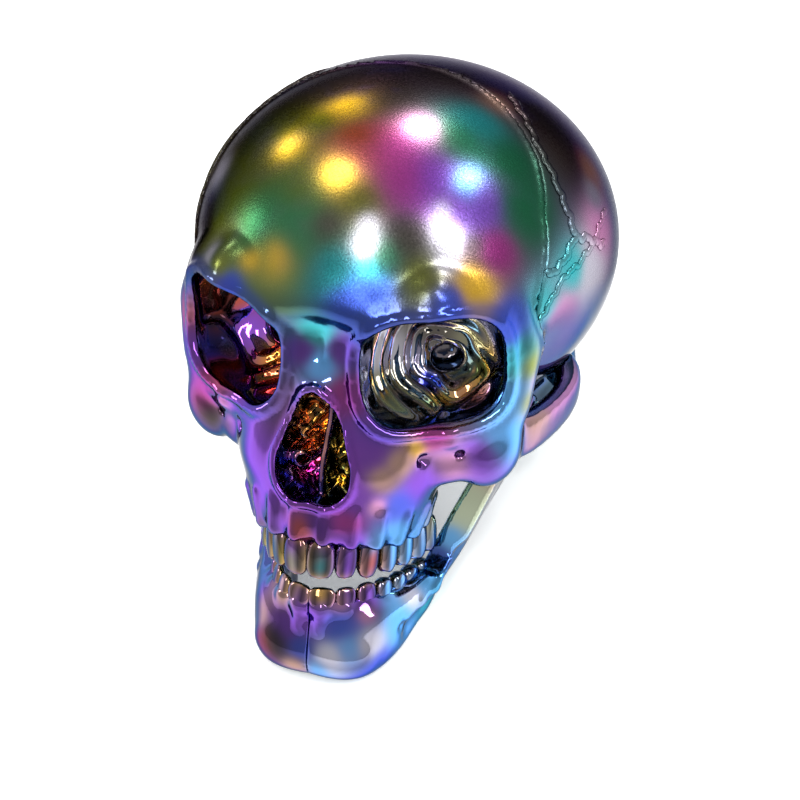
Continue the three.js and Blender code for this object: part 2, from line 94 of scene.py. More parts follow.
def level(points):
    """The way back, from the row frame's metres to level millimetres."""
    return (points / MM - LAID_AT) @ TILT


print("laid at", LAID_AT.round(3))

# %% [markdown]
# A distance field gives, for each point of a grid, how far it lies from a surface, negative
# inside. Two fields melt into each other when the smaller is taken with a soft corner, which is
# how a moulded form looks. The formulas below work on whole arrays at once.

# %% Field helpers
def melt(a, b, width):
    """Soft minimum: the smaller of a and b, less a hump where they are within width."""
    part = np.clip(0.5 + 0.5 * (b - a) / width, 0, 1)
    return b + (a - b) * part - width * part * (1 - part)


def carve(a, b, width):
    """a with b taken away, its edge rounded over width."""
    return -melt(-a, b, width)


def grid(low, high, cell):
    """Three open arrays of coordinates, which broadcast to the whole grid."""
    axes = [np.arange(a, b + cell, cell, dtype=np.float32) for a, b in zip(low, high)]
    return axes[0][:, None, None], axes[1][None, :, None], axes[2][None, None, :]


def lobe(p, middle, size):
    """Ellipsoid: k(k - 1) over the length of its slope, where k is the scaled radius."""
    near = sum(((c - m) / s) ** 2 for c, m, s in zip(p, middle, size))
    slope = sum(((c - m) / (s * s)) ** 2 for c, m, s in zip(p, middle, size))
    near = np.sqrt(near)
    return near * (near - 1) / np.sqrt(slope + 1e-9)


def rod(p, start, end, radius, end_radius=None):
    """Capsule: distance to the nearest point of a straight line, less a radius along it."""
    start = np.asarray(start, float)
    run = np.asarray(end, float) - start
    share = sum((c - s) * r for c, s, r in zip(p, start, run)) / max(float(run @ run), 1e-9)
    share = np.clip(share, 0, 1)
    off = sum((c - s - share * r) ** 2 for c, s, r in zip(p, start, run))
    last = radius if end_radius is None else end_radius
    return np.sqrt(off) - (radius + (last - radius) * share)


def rods(p, points, radius):
    """The nearest of a chain of capsules."""
    lengths = [rod(p, a, b, radius) for a, b in zip(points, points[1:])]
    return np.minimum.reduce(lengths)


print("2 mm off a ball of 5 mm the field is", round(float(lobe([7, 0, 0], [0, 0, 0], [5, 5, 5])), 3))

# %% [markdown]
# The field becomes a mesh by contouring: a net of quads is drawn where the field is zero. A few
# rounds of smoothing that swell as much as they shrink then take out the last ripple of the
# grid, which bright metal would show.

# %% From a field to a mesh
FIELD_REACH = 10.0
SMOOTH_ROUNDS = 3
SMOOTH_STEPS = [0.5, -0.52]


def contour(field, low, cell):
    """Points and faces, in triangles and in quads, of the zero level of a field on a grid."""
    volume = openvdb.FloatGrid(FIELD_REACH)
    volume.copyFromArray(np.clip(field, -FIELD_REACH, FIELD_REACH).astype(np.float32))
    points, triangles, quads = volume.convertToPolygons(isovalue=0.0, adaptivity=0.0)
    return points * cell + np.asarray(low, np.float32), [f for f in (triangles, quads) if len(f)]


def smoothed(points, faces):
    """Each vertex moves to the mean of its neighbours and part of the way back, in turn."""
    starts = np.concatenate([f[:, k] for f in faces for k in range(f.shape[1])])
    ends = np.concatenate([np.roll(f, -1, 1)[:, k] for f in faces for k in range(f.shape[1])])
    a = np.concatenate([starts, ends])
    b = np.concatenate([ends, starts])
    count = np.bincount(a, minlength=len(points))[:, None]
    for step in SMOOTH_STEPS * SMOOTH_ROUNDS:
        mean = np.stack([np.bincount(a, points[b, k], len(points)) for k in range(3)], 1) / count
        points = points + step * (mean - points)
    return points


def largest(points, faces):
    """Only the vertices and faces joined to the largest body."""
    label = np.arange(len(points))
    pairs = np.concatenate([np.stack([f[:, 0], f[:, k]], 1)
                            for f in faces for k in range(1, f.shape[1])])
    while True:
        least = np.minimum(label[pairs[:, 0]], label[pairs[:, 1]])
        new = label.copy()
        np.minimum.at(new, pairs[:, 0], least)
        np.minimum.at(new, pairs[:, 1], least)
        new = new[new]
        if (new == label).all():
            break
        label = new
    names, counts = np.unique(label, return_counts=True)
    keep = label == names[counts.argmax()]
    index = np.cumsum(keep) - 1
    return points[keep], [index[f[keep[f[:, 0]]]] for f in faces]


def skin_of(field, low, cell):
    """Contours a field, keeps its largest body and smooths it."""
    points, faces = largest(*contour(field, low, cell))
    return smoothed(points, faces), faces


trial = rod(grid([-6.0] * 3, [6.0] * 3, 0.5), [-2, 0, 0], [2, 0, 0], 3)
trial_points, _ = skin_of(trial, [-6.0] * 3, 0.5)
print("a trial capsule of 10 x 6 x 6 mm has become", np.ptp(trial_points, 0).round(2))

# %% [markdown]
# A piece is a mesh object that sits unturned at the origin, with its place in its mesh. It rides
# on a body of the frame. Where it shows what a CAD node is, it stands for that node, which then
# isn't drawn.

# %% From a mesh to a piece
def mesh_piece(name, points, faces, body, slot, *nodes):
    """A mesh object in the row frame that rides on a body and may stand for CAD nodes."""
    mesh = bpy.data.meshes.new(name)
    mesh.vertices.add(len(points))
    mesh.vertices.foreach_set("co", laid(points).astype(np.float32).ravel())
    corners = np.concatenate([f.ravel() for f in faces])
    sizes = np.concatenate([np.full(len(f), f.shape[1]) for f in faces])
    mesh.loops.add(len(corners))
    mesh.loops.foreach_set("vertex_index", corners.astype(np.int32))
    mesh.polygons.add(len(sizes))
    starts = np.concatenate([[0], np.cumsum(sizes)[:-1]])
    mesh.polygons.foreach_set("loop_start", starts.astype(np.int32))
    mesh.polygons.foreach_set("use_smooth", np.ones(len(sizes), bool))
    mesh.update(calc_edges=True)
    mesh.validate()
    piece = bpy.data.objects.new(name, mesh)
    bpy.context.scene.collection.objects.link(piece)
    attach(piece, body)
    if nodes:
        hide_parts(*nodes)
    return piece


def cast(name, field, low, cell, body, slot, *nodes):
    """The skin of a field as a piece."""
    points, faces = skin_of(field, low, cell)
    piece = mesh_piece(name, points, faces, body, slot, *nodes)
    triangle_count = sum(len(f) * (f.shape[1] - 2) for f in faces)
    print(name, len(points), "points,", triangle_count, "triangles")
    return piece


# %% [markdown]
# The head is a braincase, a base, a midface, an upper jaw and two cheekbones, with ridges of
# bone for the brow and round the sockets. Only one side is worked out: the field reads the
# absolute value of x, so the other side mirrors it.

# %% The head's form
# How far the frame's flat facets lie inside the round head.
FACET_SAG = 0.12
LOBE_SHARES = [
    ([0, 0, 0], [1, 1, 1], 0.1),
    ([0, 0.51, -0.65], [0.68, 0.51, 0.62], 0.3),
    ([0, -0.3, -0.7], [0.57, 0.46, 0.42], 0.22),
    ([0, -0.63, -0.95], [0.5, 0.34, 0.5], 0.16),
    ([0, -0.59, -1.3], [0.395, 0.36, 0.24], 0.14),
    ([0.65, -0.56, -0.88], [0.16, 0.12, 0.21], 0.14),
]
RIDGE_SHARES = [
    ([[0, -0.96, -0.1], [0.22, -0.95, -0.12], [0.46, -0.88, -0.03]], 0.075, 0.12),
    ([[0.46, -0.88, -0.03], [0.68, -0.72, -0.1], [0.78, -0.55, -0.33]], 0.075, 0.12),
    ([[0.78, -0.56, -0.33], [0.77, -0.56, -0.62], [0.7, -0.57, -0.84]], 0.07, 0.12),
    ([[0, -0.85, -0.22], [0, -0.93, -0.58]], 0.085, 0.09),
    ([[0.14, -0.86, -0.36], [0.23, -0.82, -0.7], [0.27, -0.8, -1]], 0.08, 0.1),
]
DIP_SHARES = [
    ([1.2, -0.42, -0.5], [0.34, 0.3, 0.42], 0.12),
    ([0, -1.1, -0.33], [0.2, 0.16, 0.16], 0.1),
    ([0.74, -0.1, -1.45], [0.3, 0.42, 0.5], 0.1),
]


def head(p):
    """Lobes and ridges melted together in turn, less the dips, and sunk by the facets' sag."""
    p = (abs(p[0]), p[1], p[2])
    at, size, _ = LOBE_SHARES[0]
    field = lobe(p, place(*at), reach(*size))
    for at, size, soft in LOBE_SHARES[1:]:
        field = melt(field, lobe(p, place(*at), reach(*size)), girth(soft))
    for path, thick, soft in RIDGE_SHARES:
        field = melt(field, rods(p, [place(*s) for s in path], girth(thick)), girth(soft))
    for at, size, soft in DIP_SHARES:
        field = carve(field, lobe(p, place(*at), reach(*size)), girth(soft))
    return field + FACET_SAG


print("head:", len(LOBE_SHARES), "lobes,", len(RIDGE_SHARES), "ridges,", len(DIP_SHARES), "dips")

# %% [markdown]
# Sutures, pits and root swellings have to lie on the bone. Their points are drawn onto the head
# by steps along the field's slope, each as long as the field there says, until they lie at the
# height that is wanted.

# %% Points drawn onto the head
DRAW_STEPS = 8


def slope_at(field_of, points, step=0.2):
    """Gradient of a field function at points, by differences."""
    columns = []
    for k in range(3):
        ahead, back = points.copy(), points.copy()
        ahead[:, k] += step
        back[:, k] -= step
        columns.append((field_of(ahead.T) - field_of(back.T)) / (2 * step))
    return np.stack(columns, 1)


def on_head(points, lift=0.0):
    """Points drawn along the field's slope until they lie at a height over the head."""
    points = np.array(points, float)
    for _ in range(DRAW_STEPS):
        slope = slope_at(head, points)
        off = head(points.T) - lift
        points = points - slope * (off / (slope**2).sum(1))[:, None]
    return points


top = on_head([place(0, 0, 1)])[0]
print("top of the head, level:", top.round(2))

# %% [markdown]
# The two shells part along a line that climbs from behind the cheek over the crown. Seen from
# the side it is an outline, and all behind it belongs to the rear shell.

# %% The seam
SEAM_SHARES = [[-0.14, -1.9], [-0.14, -0.75], [-0.46, -0.5], [-0.57, -0.1], [-0.48, 0.36],
               [-0.28, 0.78], [-0.15, 1], [-0.15, 2]]
FAR = 300.0


def polygon(u, v, points):
    """Signed distance in a plane to a closed outline, negative inside."""
    points = np.asarray(points, float)
    least = np.full(np.broadcast_shapes(u.shape, v.shape), 1e9, np.float32)
    inside = np.zeros(least.shape, bool)
    for a, b in zip(points, np.roll(points, -1, 0)):
        run = b - a
        share = np.clip(((u - a[0]) * run[0] + (v - a[1]) * run[1]) / (run @ run), 0, 1)
        off = (u - a[0] - share * run[0]) ** 2 + (v - a[1] - share * run[1]) ** 2
        least = np.minimum(least, off)
        crosses = (v >= a[1]) != (v >= b[1])
        if a[1] != b[1]:
            at = a[0] + (v - a[1]) * run[0] / run[1]
            inside ^= crosses & (u < at)
    return np.where(inside, -1, 1) * np.sqrt(least)


def behind_seam(p):
    """Signed distance in the side view, negative behind the seam."""
    line = [place(0, *s)[1:] for s in SEAM_SHARES]
    outline = [[FAR, line[0][1]], *line, [FAR, line[-1][1]]]
    return polygon(p[1], p[2], outline)


print("seam:", len(SEAM_SHARES), "points")

# %% [markdown]
# A socket is a deep bowl, round at its bottom and squared at its rim, turned a little outwards.
# A cone or a box would show straight edges in the mirror, so it is half a ball whose section is a
# rounded square, measured in its own turned coordinates.

# %% Sockets
SOCKET = {"half_width": 23.0, "half_height": 19.5, "depth": 38.0}
BOWL_SLACK_SHARE = 0.35
SOCKET_TURN = {"yaw": math.radians(24), "pitch": math.radians(-4), "roll": math.radians(-8)}
SOCKET_SHARES = [0.445, -0.77, -0.4]
SOCKET_AXES = np.array(
    Matrix.Rotation(SOCKET_TURN["yaw"], 3, "Z")
    @ Matrix.Rotation(-SOCKET_TURN["pitch"], 3, "X")
    @ Matrix.Rotation(SOCKET_TURN["roll"], 3, "Y")
)


def in_socket(p):
    """Coordinates across, inwards and up, from the middle of the left socket's rim."""
    off = [c - m for c, m in zip((abs(p[0]), p[1], p[2]), place(*SOCKET_SHARES))]
    return [sum(o * SOCKET_AXES[row, column] for row, o in enumerate(off)) for column in range(3)]


def squircle(u, v):
    """Radius of a rounded square that passes through (1, 0) and (0, 1)."""
    return np.cbrt(abs(u) ** 3 + abs(v) ** 3)


def socket_bowl(p, extra, depth=SOCKET["depth"]):
    """A half ball stretched to the socket's sizes, straight in front of its rim."""
    across, inwards, up = in_socket(p)
    wide = SOCKET["half_width"] + extra
    high = SOCKET["half_height"] + extra
    deep = depth + extra
    round_part = squircle(across / wide, up / high)
    sunk = np.maximum(inwards, 0) / deep
    near = np.sqrt(round_part**2 + sunk**2)
    return (near - 1) * (high + (deep - high) * BOWL_SLACK_SHARE * np.clip(sunk, 0, 1))


print("left socket's middle:", place(*SOCKET_SHARES).round(1))

# %% [markdown]
# Inside the real socket the skin lies in folds round the hole of the nerve, like ripples round a
# stone, and less deep than the bowl behind it. Its edge is rolled into a thick rim that bends
# back at the temple.

# %% Lining and rim of the sockets
LINING = {"depth": 23.0, "fold": 1.2, "pitch": 6.6, "start": 5, "rise": 3, "end": 27, "fall": 15}
FOLD_BENDS = {"twofold": 1.7, "twofold_start": 0.5, "fivefold": 0.8}
FOLD_SIDE = {"mean_share": 0.55, "more_share": 0.45, "towards": 0.4}
FOLD_DEPTH = {"start_share": 0.3, "full": 8}
NERVE_HOLE = {"across": 6.5, "up": -6.0, "radius": 4.4, "sunk": 6, "flatness": 1.25, "soft": 1.6}
RIM = {"girth": 3.4, "bend": 3.0}


def lined_bowl(p):
    """The bowl with folds round the nerve's hole, and the hole sunk in its floor. A fold is a sine
    of the distance from the hole, moved to and fro by sines of the turn about it."""
    across, inwards, up = in_socket(p)
    off, rise = across - NERVE_HOLE["across"], up - NERVE_HOLE["up"]
    far = np.hypot(off, NERVE_HOLE["flatness"] * rise)
    turn = np.arctan2(rise, off)
    starts = np.clip((far - LINING["start"]) / LINING["rise"], 0, 1)
    lift = starts * np.clip((LINING["end"] - far) / LINING["fall"], 0, 1)
    two = FOLD_BENDS["twofold"] * np.sin(turn * 2 + FOLD_BENDS["twofold_start"])
    five = FOLD_BENDS["fivefold"] * np.sin(turn * 5)
    ripple = np.sin(2 * math.pi * far / LINING["pitch"] + two + five)
    bowl = socket_bowl(p, 0, LINING["depth"])
    deep = np.clip(inwards / FOLD_DEPTH["full"] - FOLD_DEPTH["start_share"], 0, 1)
    side = FOLD_SIDE["mean_share"] - FOLD_SIDE["more_share"] * np.cos(turn - FOLD_SIDE["towards"])
    bowl = bowl + LINING["fold"] * ripple * lift * deep * side
    floor = LINING["depth"]
    hole = np.maximum(far - NERVE_HOLE["radius"], inwards - floor - NERVE_HOLE["sunk"])
    return melt(bowl, np.maximum(hole, -inwards), NERVE_HOLE["soft"])


def socket_rim(p):
    """A rolled rim: a round bar bent round the socket's outline and back at its outer end."""
    across, inwards, up = in_socket(p)
    u = across / (SOCKET["half_width"] + WALL)
    v = up / (SOCKET["half_height"] + WALL)
    ring = (squircle(u, v) - 1) * SOCKET["half_height"]
    back = np.maximum(np.clip(u, -1, 1), 0) ** 2 * RIM["bend"]
    return np.hypot(ring, inwards - back) - RIM["girth"]


print("folds:", LINING["fold"], "mm high,", LINING["pitch"], "mm apart")

# %% [markdown]
# The nose opening is a pear from the front. Four cubic curves draw its outline with few points,
# and carried inwards it becomes a bore. The real floor is crumpled like foil, so waves that cross
# each other move the floor to and fro.

# %% Nose opening
NOSE = {"half_width": 12.8, "half_height": 19.0, "depth": 34.0, "soft": 4.0}
CRUMPLE = {"depth": 17.0, "height": 2.6, "soft": 3.0, "slope": 0.25}
CRUMPLE_WAVES = {"across": 0.5, "bent": 1.1, "bend": 0.25, "upright": 0.42, "start": 0.8}
CROSS_WAVE = {"share": 0.35, "across": 0.9, "upright": 0.6}
NOSE_SHARES = [0, -0.92, -0.86]
PEAR_SHARES = [
    [0.45, 1, 0.75, 0.3, 1, -0.25],
    [1.1, -0.95, 0.4, -1.02, 0, -0.92],
    [-0.4, -1.02, -1.1, -0.95, -1, -0.25],
    [-0.75, 0.3, -0.45, 1, 0, 1],
]


def pear_outline(steps=12):
    """Four cubic curves from the top round and back, in millimetres from the middle."""
    size = np.array([NOSE["half_width"], NOSE["half_height"]])
    start = np.array([0.0, 1.0])
    points = []
    for row in PEAR_SHARES:
        a, b, end = np.array(row, float).reshape(3, 2)
        t = np.linspace(0, 1, steps, endpoint=False)[:, None]
        curve = (1 - t) ** 3 * start + 3 * t * (1 - t) ** 2 * a + 3 * t**2 * (1 - t) * b + t**3 * end
        points.append(curve)
        start = end
    return np.concatenate(points) * size


def nose_bore(p, extra):
    """The pear carried inwards to its depth."""
    middle = place(*NOSE_SHARES)
    flat = polygon(p[0] - middle[0], p[2] - middle[2], pear_outline()) - extra
    back = p[1] - (middle[1] + NOSE["depth"] + extra)
    return -melt(-flat, -back, NOSE["soft"])


def crumpled_bore(p):
    """The pear bored less deep, its floor crumpled by three crossing waves."""
    middle = place(*NOSE_SHARES)
    flat = polygon(p[0] - middle[0], p[2] - middle[2], pear_outline())
    w = CRUMPLE_WAVES
    waves = np.sin(p[0] * w["across"] + w["bent"] * np.sin(p[2] * w["bend"]))
    waves = waves * np.sin(p[2] * w["upright"] + w["start"])
    cross = np.sin(p[0] * CROSS_WAVE["across"] - p[2] * CROSS_WAVE["upright"])
    waves = waves + CROSS_WAVE["share"] * cross
    floor = middle[1] + CRUMPLE["depth"] + CRUMPLE["height"] * waves
    back = p[1] - (floor - CRUMPLE["slope"] * (p[2] - middle[2]))
    return -melt(-flat, -back, CRUMPLE["soft"])


print("nose opening:", 2 * NOSE["half_width"], "x", 2 * NOSE["half_height"], "mm")

# %% [markdown]
# A thin wall parts the nose. It stands back from the edge and is waved a little, and two scrolls
# of thin bone curl from the side walls on either side of it.

# %% Wall and scrolls inside the nose
SEPTUM = {"thickness": 2.0, "set_back": 6.0, "soft": 1.5}
SEPTUM_WAVES = {"height": 0.9, "length": 7.0, "less_height": 0.5, "less_length": 5.0}
SCROLLS = [
    # height, way out, radius
    (-9.0, 9.5, 3.6),
    (-0.5, 8.0, 2.8),
]
SCROLL = {"front": 13.0, "back": 30.0, "closing_share": 0.86, "climb": 3.0, "curl_share": 0.45,
          "curl_front": [-1.2, -3, -0.6], "curl_back": [-1.2, 0, -0.6], "curl_soft": 0.8, "soft": 1.2}


def nose_inside(p):
    """The wall between the two sides, waved a little, and the scrolls beside it."""
    middle = place(*NOSE_SHARES)
    w = SEPTUM_WAVES
    wave = w["height"] * np.sin((p[2] - middle[2]) / w["length"])
    wave = wave + w["less_height"] * np.sin((p[1] - middle[1]) / w["less_length"])
    wall = abs(p[0] - wave) - SEPTUM["thickness"] / 2
    front = middle[1] + SEPTUM["set_back"] - p[1]
    field = -melt(-wall, -front, SEPTUM["soft"])
    side = (abs(p[0]), p[1], p[2])
    for height, out, size in SCROLLS:
        start = middle + np.array([out, SCROLL["front"], height])
        inner_out = out * SCROLL["closing_share"]
        end = middle + np.array([inner_out, SCROLL["back"], height + SCROLL["climb"]])
        scroll = rod(side, start, end, size)
        curl_start, curl_end = start + SCROLL["curl_front"], end + SCROLL["curl_back"]
        curl = rod(side, curl_start, curl_end, size * SCROLL["curl_share"])
        field = melt(field, carve(scroll, curl, SCROLL["curl_soft"]), SCROLL["soft"])
    return field


print("nose wall:", SEPTUM["thickness"], "mm thick, with", len(SCROLLS), "scrolls on each side")

# %% [markdown]
# The cheek arch is a flattened bar that runs back from the cheekbone and stands clear of the
# temple. It is a profile carried along a curve, and is turned into a field by measuring the
# distance to its mesh, which a level set does for a narrow band round it.

# %% Bars along a path
def through(rows, shares):
    """Rows of numbers joined smoothly, by a cubic through four rows at a time."""
    rows = np.asarray(rows, float)
    run = np.clip(shares, 0, 1) * (len(rows) - 1)
    start = np.minimum(run.astype(int), len(rows) - 2)
    t = (run - start)[:, None]
    row = lambda i: rows[np.clip(i, 0, len(rows) - 1)]
    a, b = row(start), row(start + 1)
    rise, fall = (b - row(start - 1)) / 2, (row(start + 2) - a) / 2
    return a + t * (rise + t * (3 * (b - a) - 2 * rise - fall + t * (2 * (a - b) + rise + fall)))


def tube_faces(rings, around):
    """Quads between the rings of a bar, and a fan at each end to close it."""
    i, j = np.meshgrid(np.arange(rings - 1), np.arange(around), indexing="ij")
    a, b = i * around + j, i * around + (j + 1) % around
    quads = np.stack([a, b, b + around, a + around], -1).reshape(-1, 4)
    k = np.arange(around)
    first, last = rings * around, rings * around + 1
    start_cap = np.stack([np.full(around, first), (k + 1) % around, k], 1)
    top = (rings - 1) * around
    end_cap = np.stack([np.full(around, last), top + k, top + (k + 1) % around], 1)
    return quads, np.concatenate([start_cap, end_cap])


def closed(rings):
    """Points and faces of a closed bar from an array of rings by points by three."""
    count, around, _ = rings.shape
    ends = np.stack([rings[0].mean(0), rings[-1].mean(0)])
    quads, caps = tube_faces(count, around)
    return np.concatenate([rings.reshape(-1, 3), ends]), quads, caps


def outwards(points, quads, caps):
    """The same faces, turned round if they enclose a negative volume."""
    tri = np.concatenate([quads[:, [0, 1, 2]], quads[:, [0, 2, 3]], caps])
    a, b, c = (points[tri[:, k]] for k in range(3))
    if (a * np.cross(b, c)).sum() < 0:
        return quads[:, ::-1], caps[:, ::-1]
    return quads, caps


def bar_field(rings, low, shape, cell, reflection_stripe=6.0):
    """Distance to a closed bar on a grid, true within the band and capped beyond it."""
    points, quads, caps = closed(rings)
    quads, caps = outwards(points, quads, caps)
    points = ((points - np.asarray(low)) / cell).astype(np.float32)
    volume = openvdb.FloatGrid.createLevelSetFromPolygons(
        np.ascontiguousarray(points), triangles=np.ascontiguousarray(caps.astype(np.uint32)),
        quads=np.ascontiguousarray(quads.astype(np.uint32)), halfWidth=reflection_stripe / cell)
    field = np.empty(shape, np.float32)
    volume.copyToArray(field)
    return field * cell


print("0, 1 and 4 joined, at a quarter of the way:", through([[0], [1], [4]], np.array([0.25])))

# %% [markdown]
# The arch's path and its half height are given at five places, from the cheekbone back to the
# temple. Its section is a rounded square, thinner across than it is high.

# %% The cheek arch
ARCH_SHARES = [[0.68, -0.56, -0.84], [0.8, -0.4, -0.82], [0.86, -0.12, -0.76],
               [0.83, 0.06, -0.68], [0.66, 0.18, -0.58]]
ARCH_GIRTH_SHARES = [[0.12], [0.095], [0.085], [0.09], [0.1]]
ARCH_FLATNESS_SHARE = 0.7


def full_turn(count):
    """Even angles round a circle, the last of them one step short of the first."""
    return np.linspace(0, 2 * math.pi, count, endpoint=False)


def rounded_square(around):
    """Sines and cosines of a full turn, pushed out from the circle to a rounded square."""
    side, rise = np.sin(full_turn(around)), np.cos(full_turn(around))
    square = np.cbrt(1 / (abs(side) ** 3 + abs(rise) ** 3))
    return side * square, rise * square


def arch_rings(steps=70, around=36):
    """Rounded squares carried along the arch's curve, thinner across than they are high."""
    share = np.linspace(0, 1, steps)
    path = through([place(*s) for s in ARCH_SHARES], share)
    half = girth(through(ARCH_GIRTH_SHARES, share))
    ahead = np.gradient(path, axis=0)
    out = np.cross(ahead, [0, 0, 1])
    out /= np.linalg.norm(out, axis=1, keepdims=True)
    side, rise = rounded_square(around)
    across = side[None, :, None] * half[:, None, :] * ARCH_FLATNESS_SHARE * out[:, None, :]
    upright = rise[None, :, None] * half[:, None, :] * np.array([0, 0, 1.0])
    return path[:, None, :] + across + upright


print("cheek arch:", arch_rings().shape[0], "rings")

# %% [markdown]
# Upper and lower teeth stand along half ovals, one narrower than the other. The places are worked
# out once, because gums, root swellings and crowns all follow them.

# %% Places of the teeth
TEETH_PER_SIDE = 7
OVAL_STEPS = 400
UPPER_ARCH_SHARES = {"half_width": 0.365, "front": -0.92, "depth": 0.6, "height": -1.47,
                     "filled": 0.9}
LOWER_ARCH_SHARES = {"half_width": 0.345, "front": -0.87, "depth": 0.58, "height": -1.72,
                     "filled": 0.9}
ROOT = {"out": 0.4, "lean": 1.2, "start_off": 3, "end_off": 4, "taper_share": 0.7}


def tooth_places(arch):
    """Middles, directions along the row and half widths of one side's teeth, on half an oval."""
    wide, deep = arch["half_width"] * BRAINCASE[0], arch["depth"] * BRAINCASE[1]
    front = place(0, arch["front"], arch["height"])
    turn = np.linspace(0, math.pi / 2, OVAL_STEPS)
    oval = np.stack([wide * np.sin(turn), front[1] + deep * (1 - np.cos(turn))], 1)
    run = np.concatenate([[0], np.cumsum(np.linalg.norm(np.diff(oval, axis=0), axis=1))])
    used = run[-1] * arch["filled"]
    at = (np.arange(TEETH_PER_SIDE) + 0.5) / TEETH_PER_SIDE * used
    middles = np.stack([np.interp(at, run, oval[:, k]) for k in range(2)], 1)
    ahead = np.stack([np.interp(at + 1, run, oval[:, k]) - np.interp(at - 1, run, oval[:, k])
                      for k in range(2)], 1)
    ahead /= np.linalg.norm(ahead, axis=1, keepdims=True)
    return np.column_stack([middles, np.full(len(at), front[2])]), ahead, used / TEETH_PER_SIDE / 2


def roots(p, arch, rise, length, size, sunk=None):
    """One upright swelling over each tooth; where sunk is given, it lies that deep in the head."""
    middles, ahead, _ = tooth_places(arch)
    side = (abs(p[0]), p[1], p[2])
    field = None
    for (x, y, z), (ax, ay) in zip(middles, ahead):
        out = np.array([ay, -ax, 0.0])
        start = np.array([x, y, z + rise]) + out * ROOT["out"]
        end = start + np.array([0, 0, length]) - out * ROOT["lean"]
        if sunk is not None:
            ahead_of_bone = [start + out * ROOT["start_off"], end + out * ROOT["end_off"]]
            start, end = on_head(ahead_of_bone, -sunk)
        root = rod(side, start, end, size, size * ROOT["taper_share"])
        field = root if field is None else np.minimum(field, root)
    return field


upper_half = tooth_places(UPPER_ARCH_SHARES)[2]
print("half a tooth's share of the upper row:", round(upper_half, 2), "mm")

# %% [markdown]
# The face carries relief: the rolled rims of the sockets, root swellings over the teeth, the spine
# below the nose, a fill below each cheek and small bumps by the sockets. All of it is melted onto
# the head before anything is cut away, so that no edge is left where the forms meet.

# %% Relief of the face
FACE_SOFT = {"rim": 4.5, "root": 1.2, "spine": 3.0, "cheek": 7.0, "bump": 2.0}
UPPER_ROOTS = {"rise": 6.0, "length": 10.0, "size": 2.7, "sunk": 0.6}
NOSE_SPINE = {"start": [0, 4, -20.5], "end": [0, -1.5, -17.5], "radius": 2.4, "tip_radius": 1.2}
CHEEK_FILL = [[33.5, -73.5, -7.0], [34.2, -71.5, -14.0], [34.0, -70.5, -16.0]]
CHEEK_RADIUS = 2.4
SOCKET_BUMPS = [
    # across, up, radius
    (-6.0, 22.5, 2.9),
    (4.0, -22.8, 2.2),
]
BUMP_FORWARD = 2.0


def in_socket_point(across, inwards, up):
    """A point given from the middle of the left socket's rim, in level millimetres."""
    return place(*SOCKET_SHARES) + SOCKET_AXES @ np.array([across, inwards, up])


def raised_face(p, bone):
    """The bone with its rims, roots, nose spine, cheek fill and bumps melted on."""
    outside = melt(bone, socket_rim(p), FACE_SOFT["rim"])
    outside = melt(outside, roots(p, UPPER_ARCH_SHARES, **UPPER_ROOTS), FACE_SOFT["root"])
    nose = place(*NOSE_SHARES)
    spine = rod(p, nose + NOSE_SPINE["start"], nose + NOSE_SPINE["end"],
                NOSE_SPINE["radius"], NOSE_SPINE["tip_radius"])
    outside = melt(outside, spine, FACE_SOFT["spine"])
    side = (abs(p[0]), p[1], p[2])
    outside = melt(outside, rods(side, CHEEK_FILL, CHEEK_RADIUS), FACE_SOFT["cheek"])
    for across, up, size in SOCKET_BUMPS:
        bump = in_socket_point(across, -BUMP_FORWARD, up)
        outside = melt(outside, lobe(side, bump, [size, size, size]), FACE_SOFT["bump"])
    return outside


print("bumps by the left socket:",
      [in_socket_point(across, -BUMP_FORWARD, up).round(1) for across, up, _ in SOCKET_BUMPS])

# %% [markdown]
# The front shell makes a skin of the raised face, which ends in a rolled lip at the seam. The
# bowls and the nose's bore are cut from it and have walls of their own behind them, the cheek
# arches are melted on, and the pin holes of the nerves are pits below each socket.

# %% Front shell
FRONT_CELL = 1.0
FRONT_LOW = np.array([-68.0, -108.0, -58.0])
FRONT_HIGH = np.array([68.0, 0.0, 102.0])
FRONT_SOFT = {"seam": 0.8, "arch": 2.0, "bowl": 1.6, "bore": 1.4, "bead": 0.9, "pit": 1.0}
POCKET_WALL = 3.6
SEAM_LIP = 0.8
BEAD = {"socket": 1.8, "nose": 1.2}
PITS = [
    # across, up, radius
    (-6.0, -29.0, 2.0),
    (6.5, -28.0, 1.6),
]
PIT_LIFT = 0.3
SCROLL_OVERLAP = 0.6


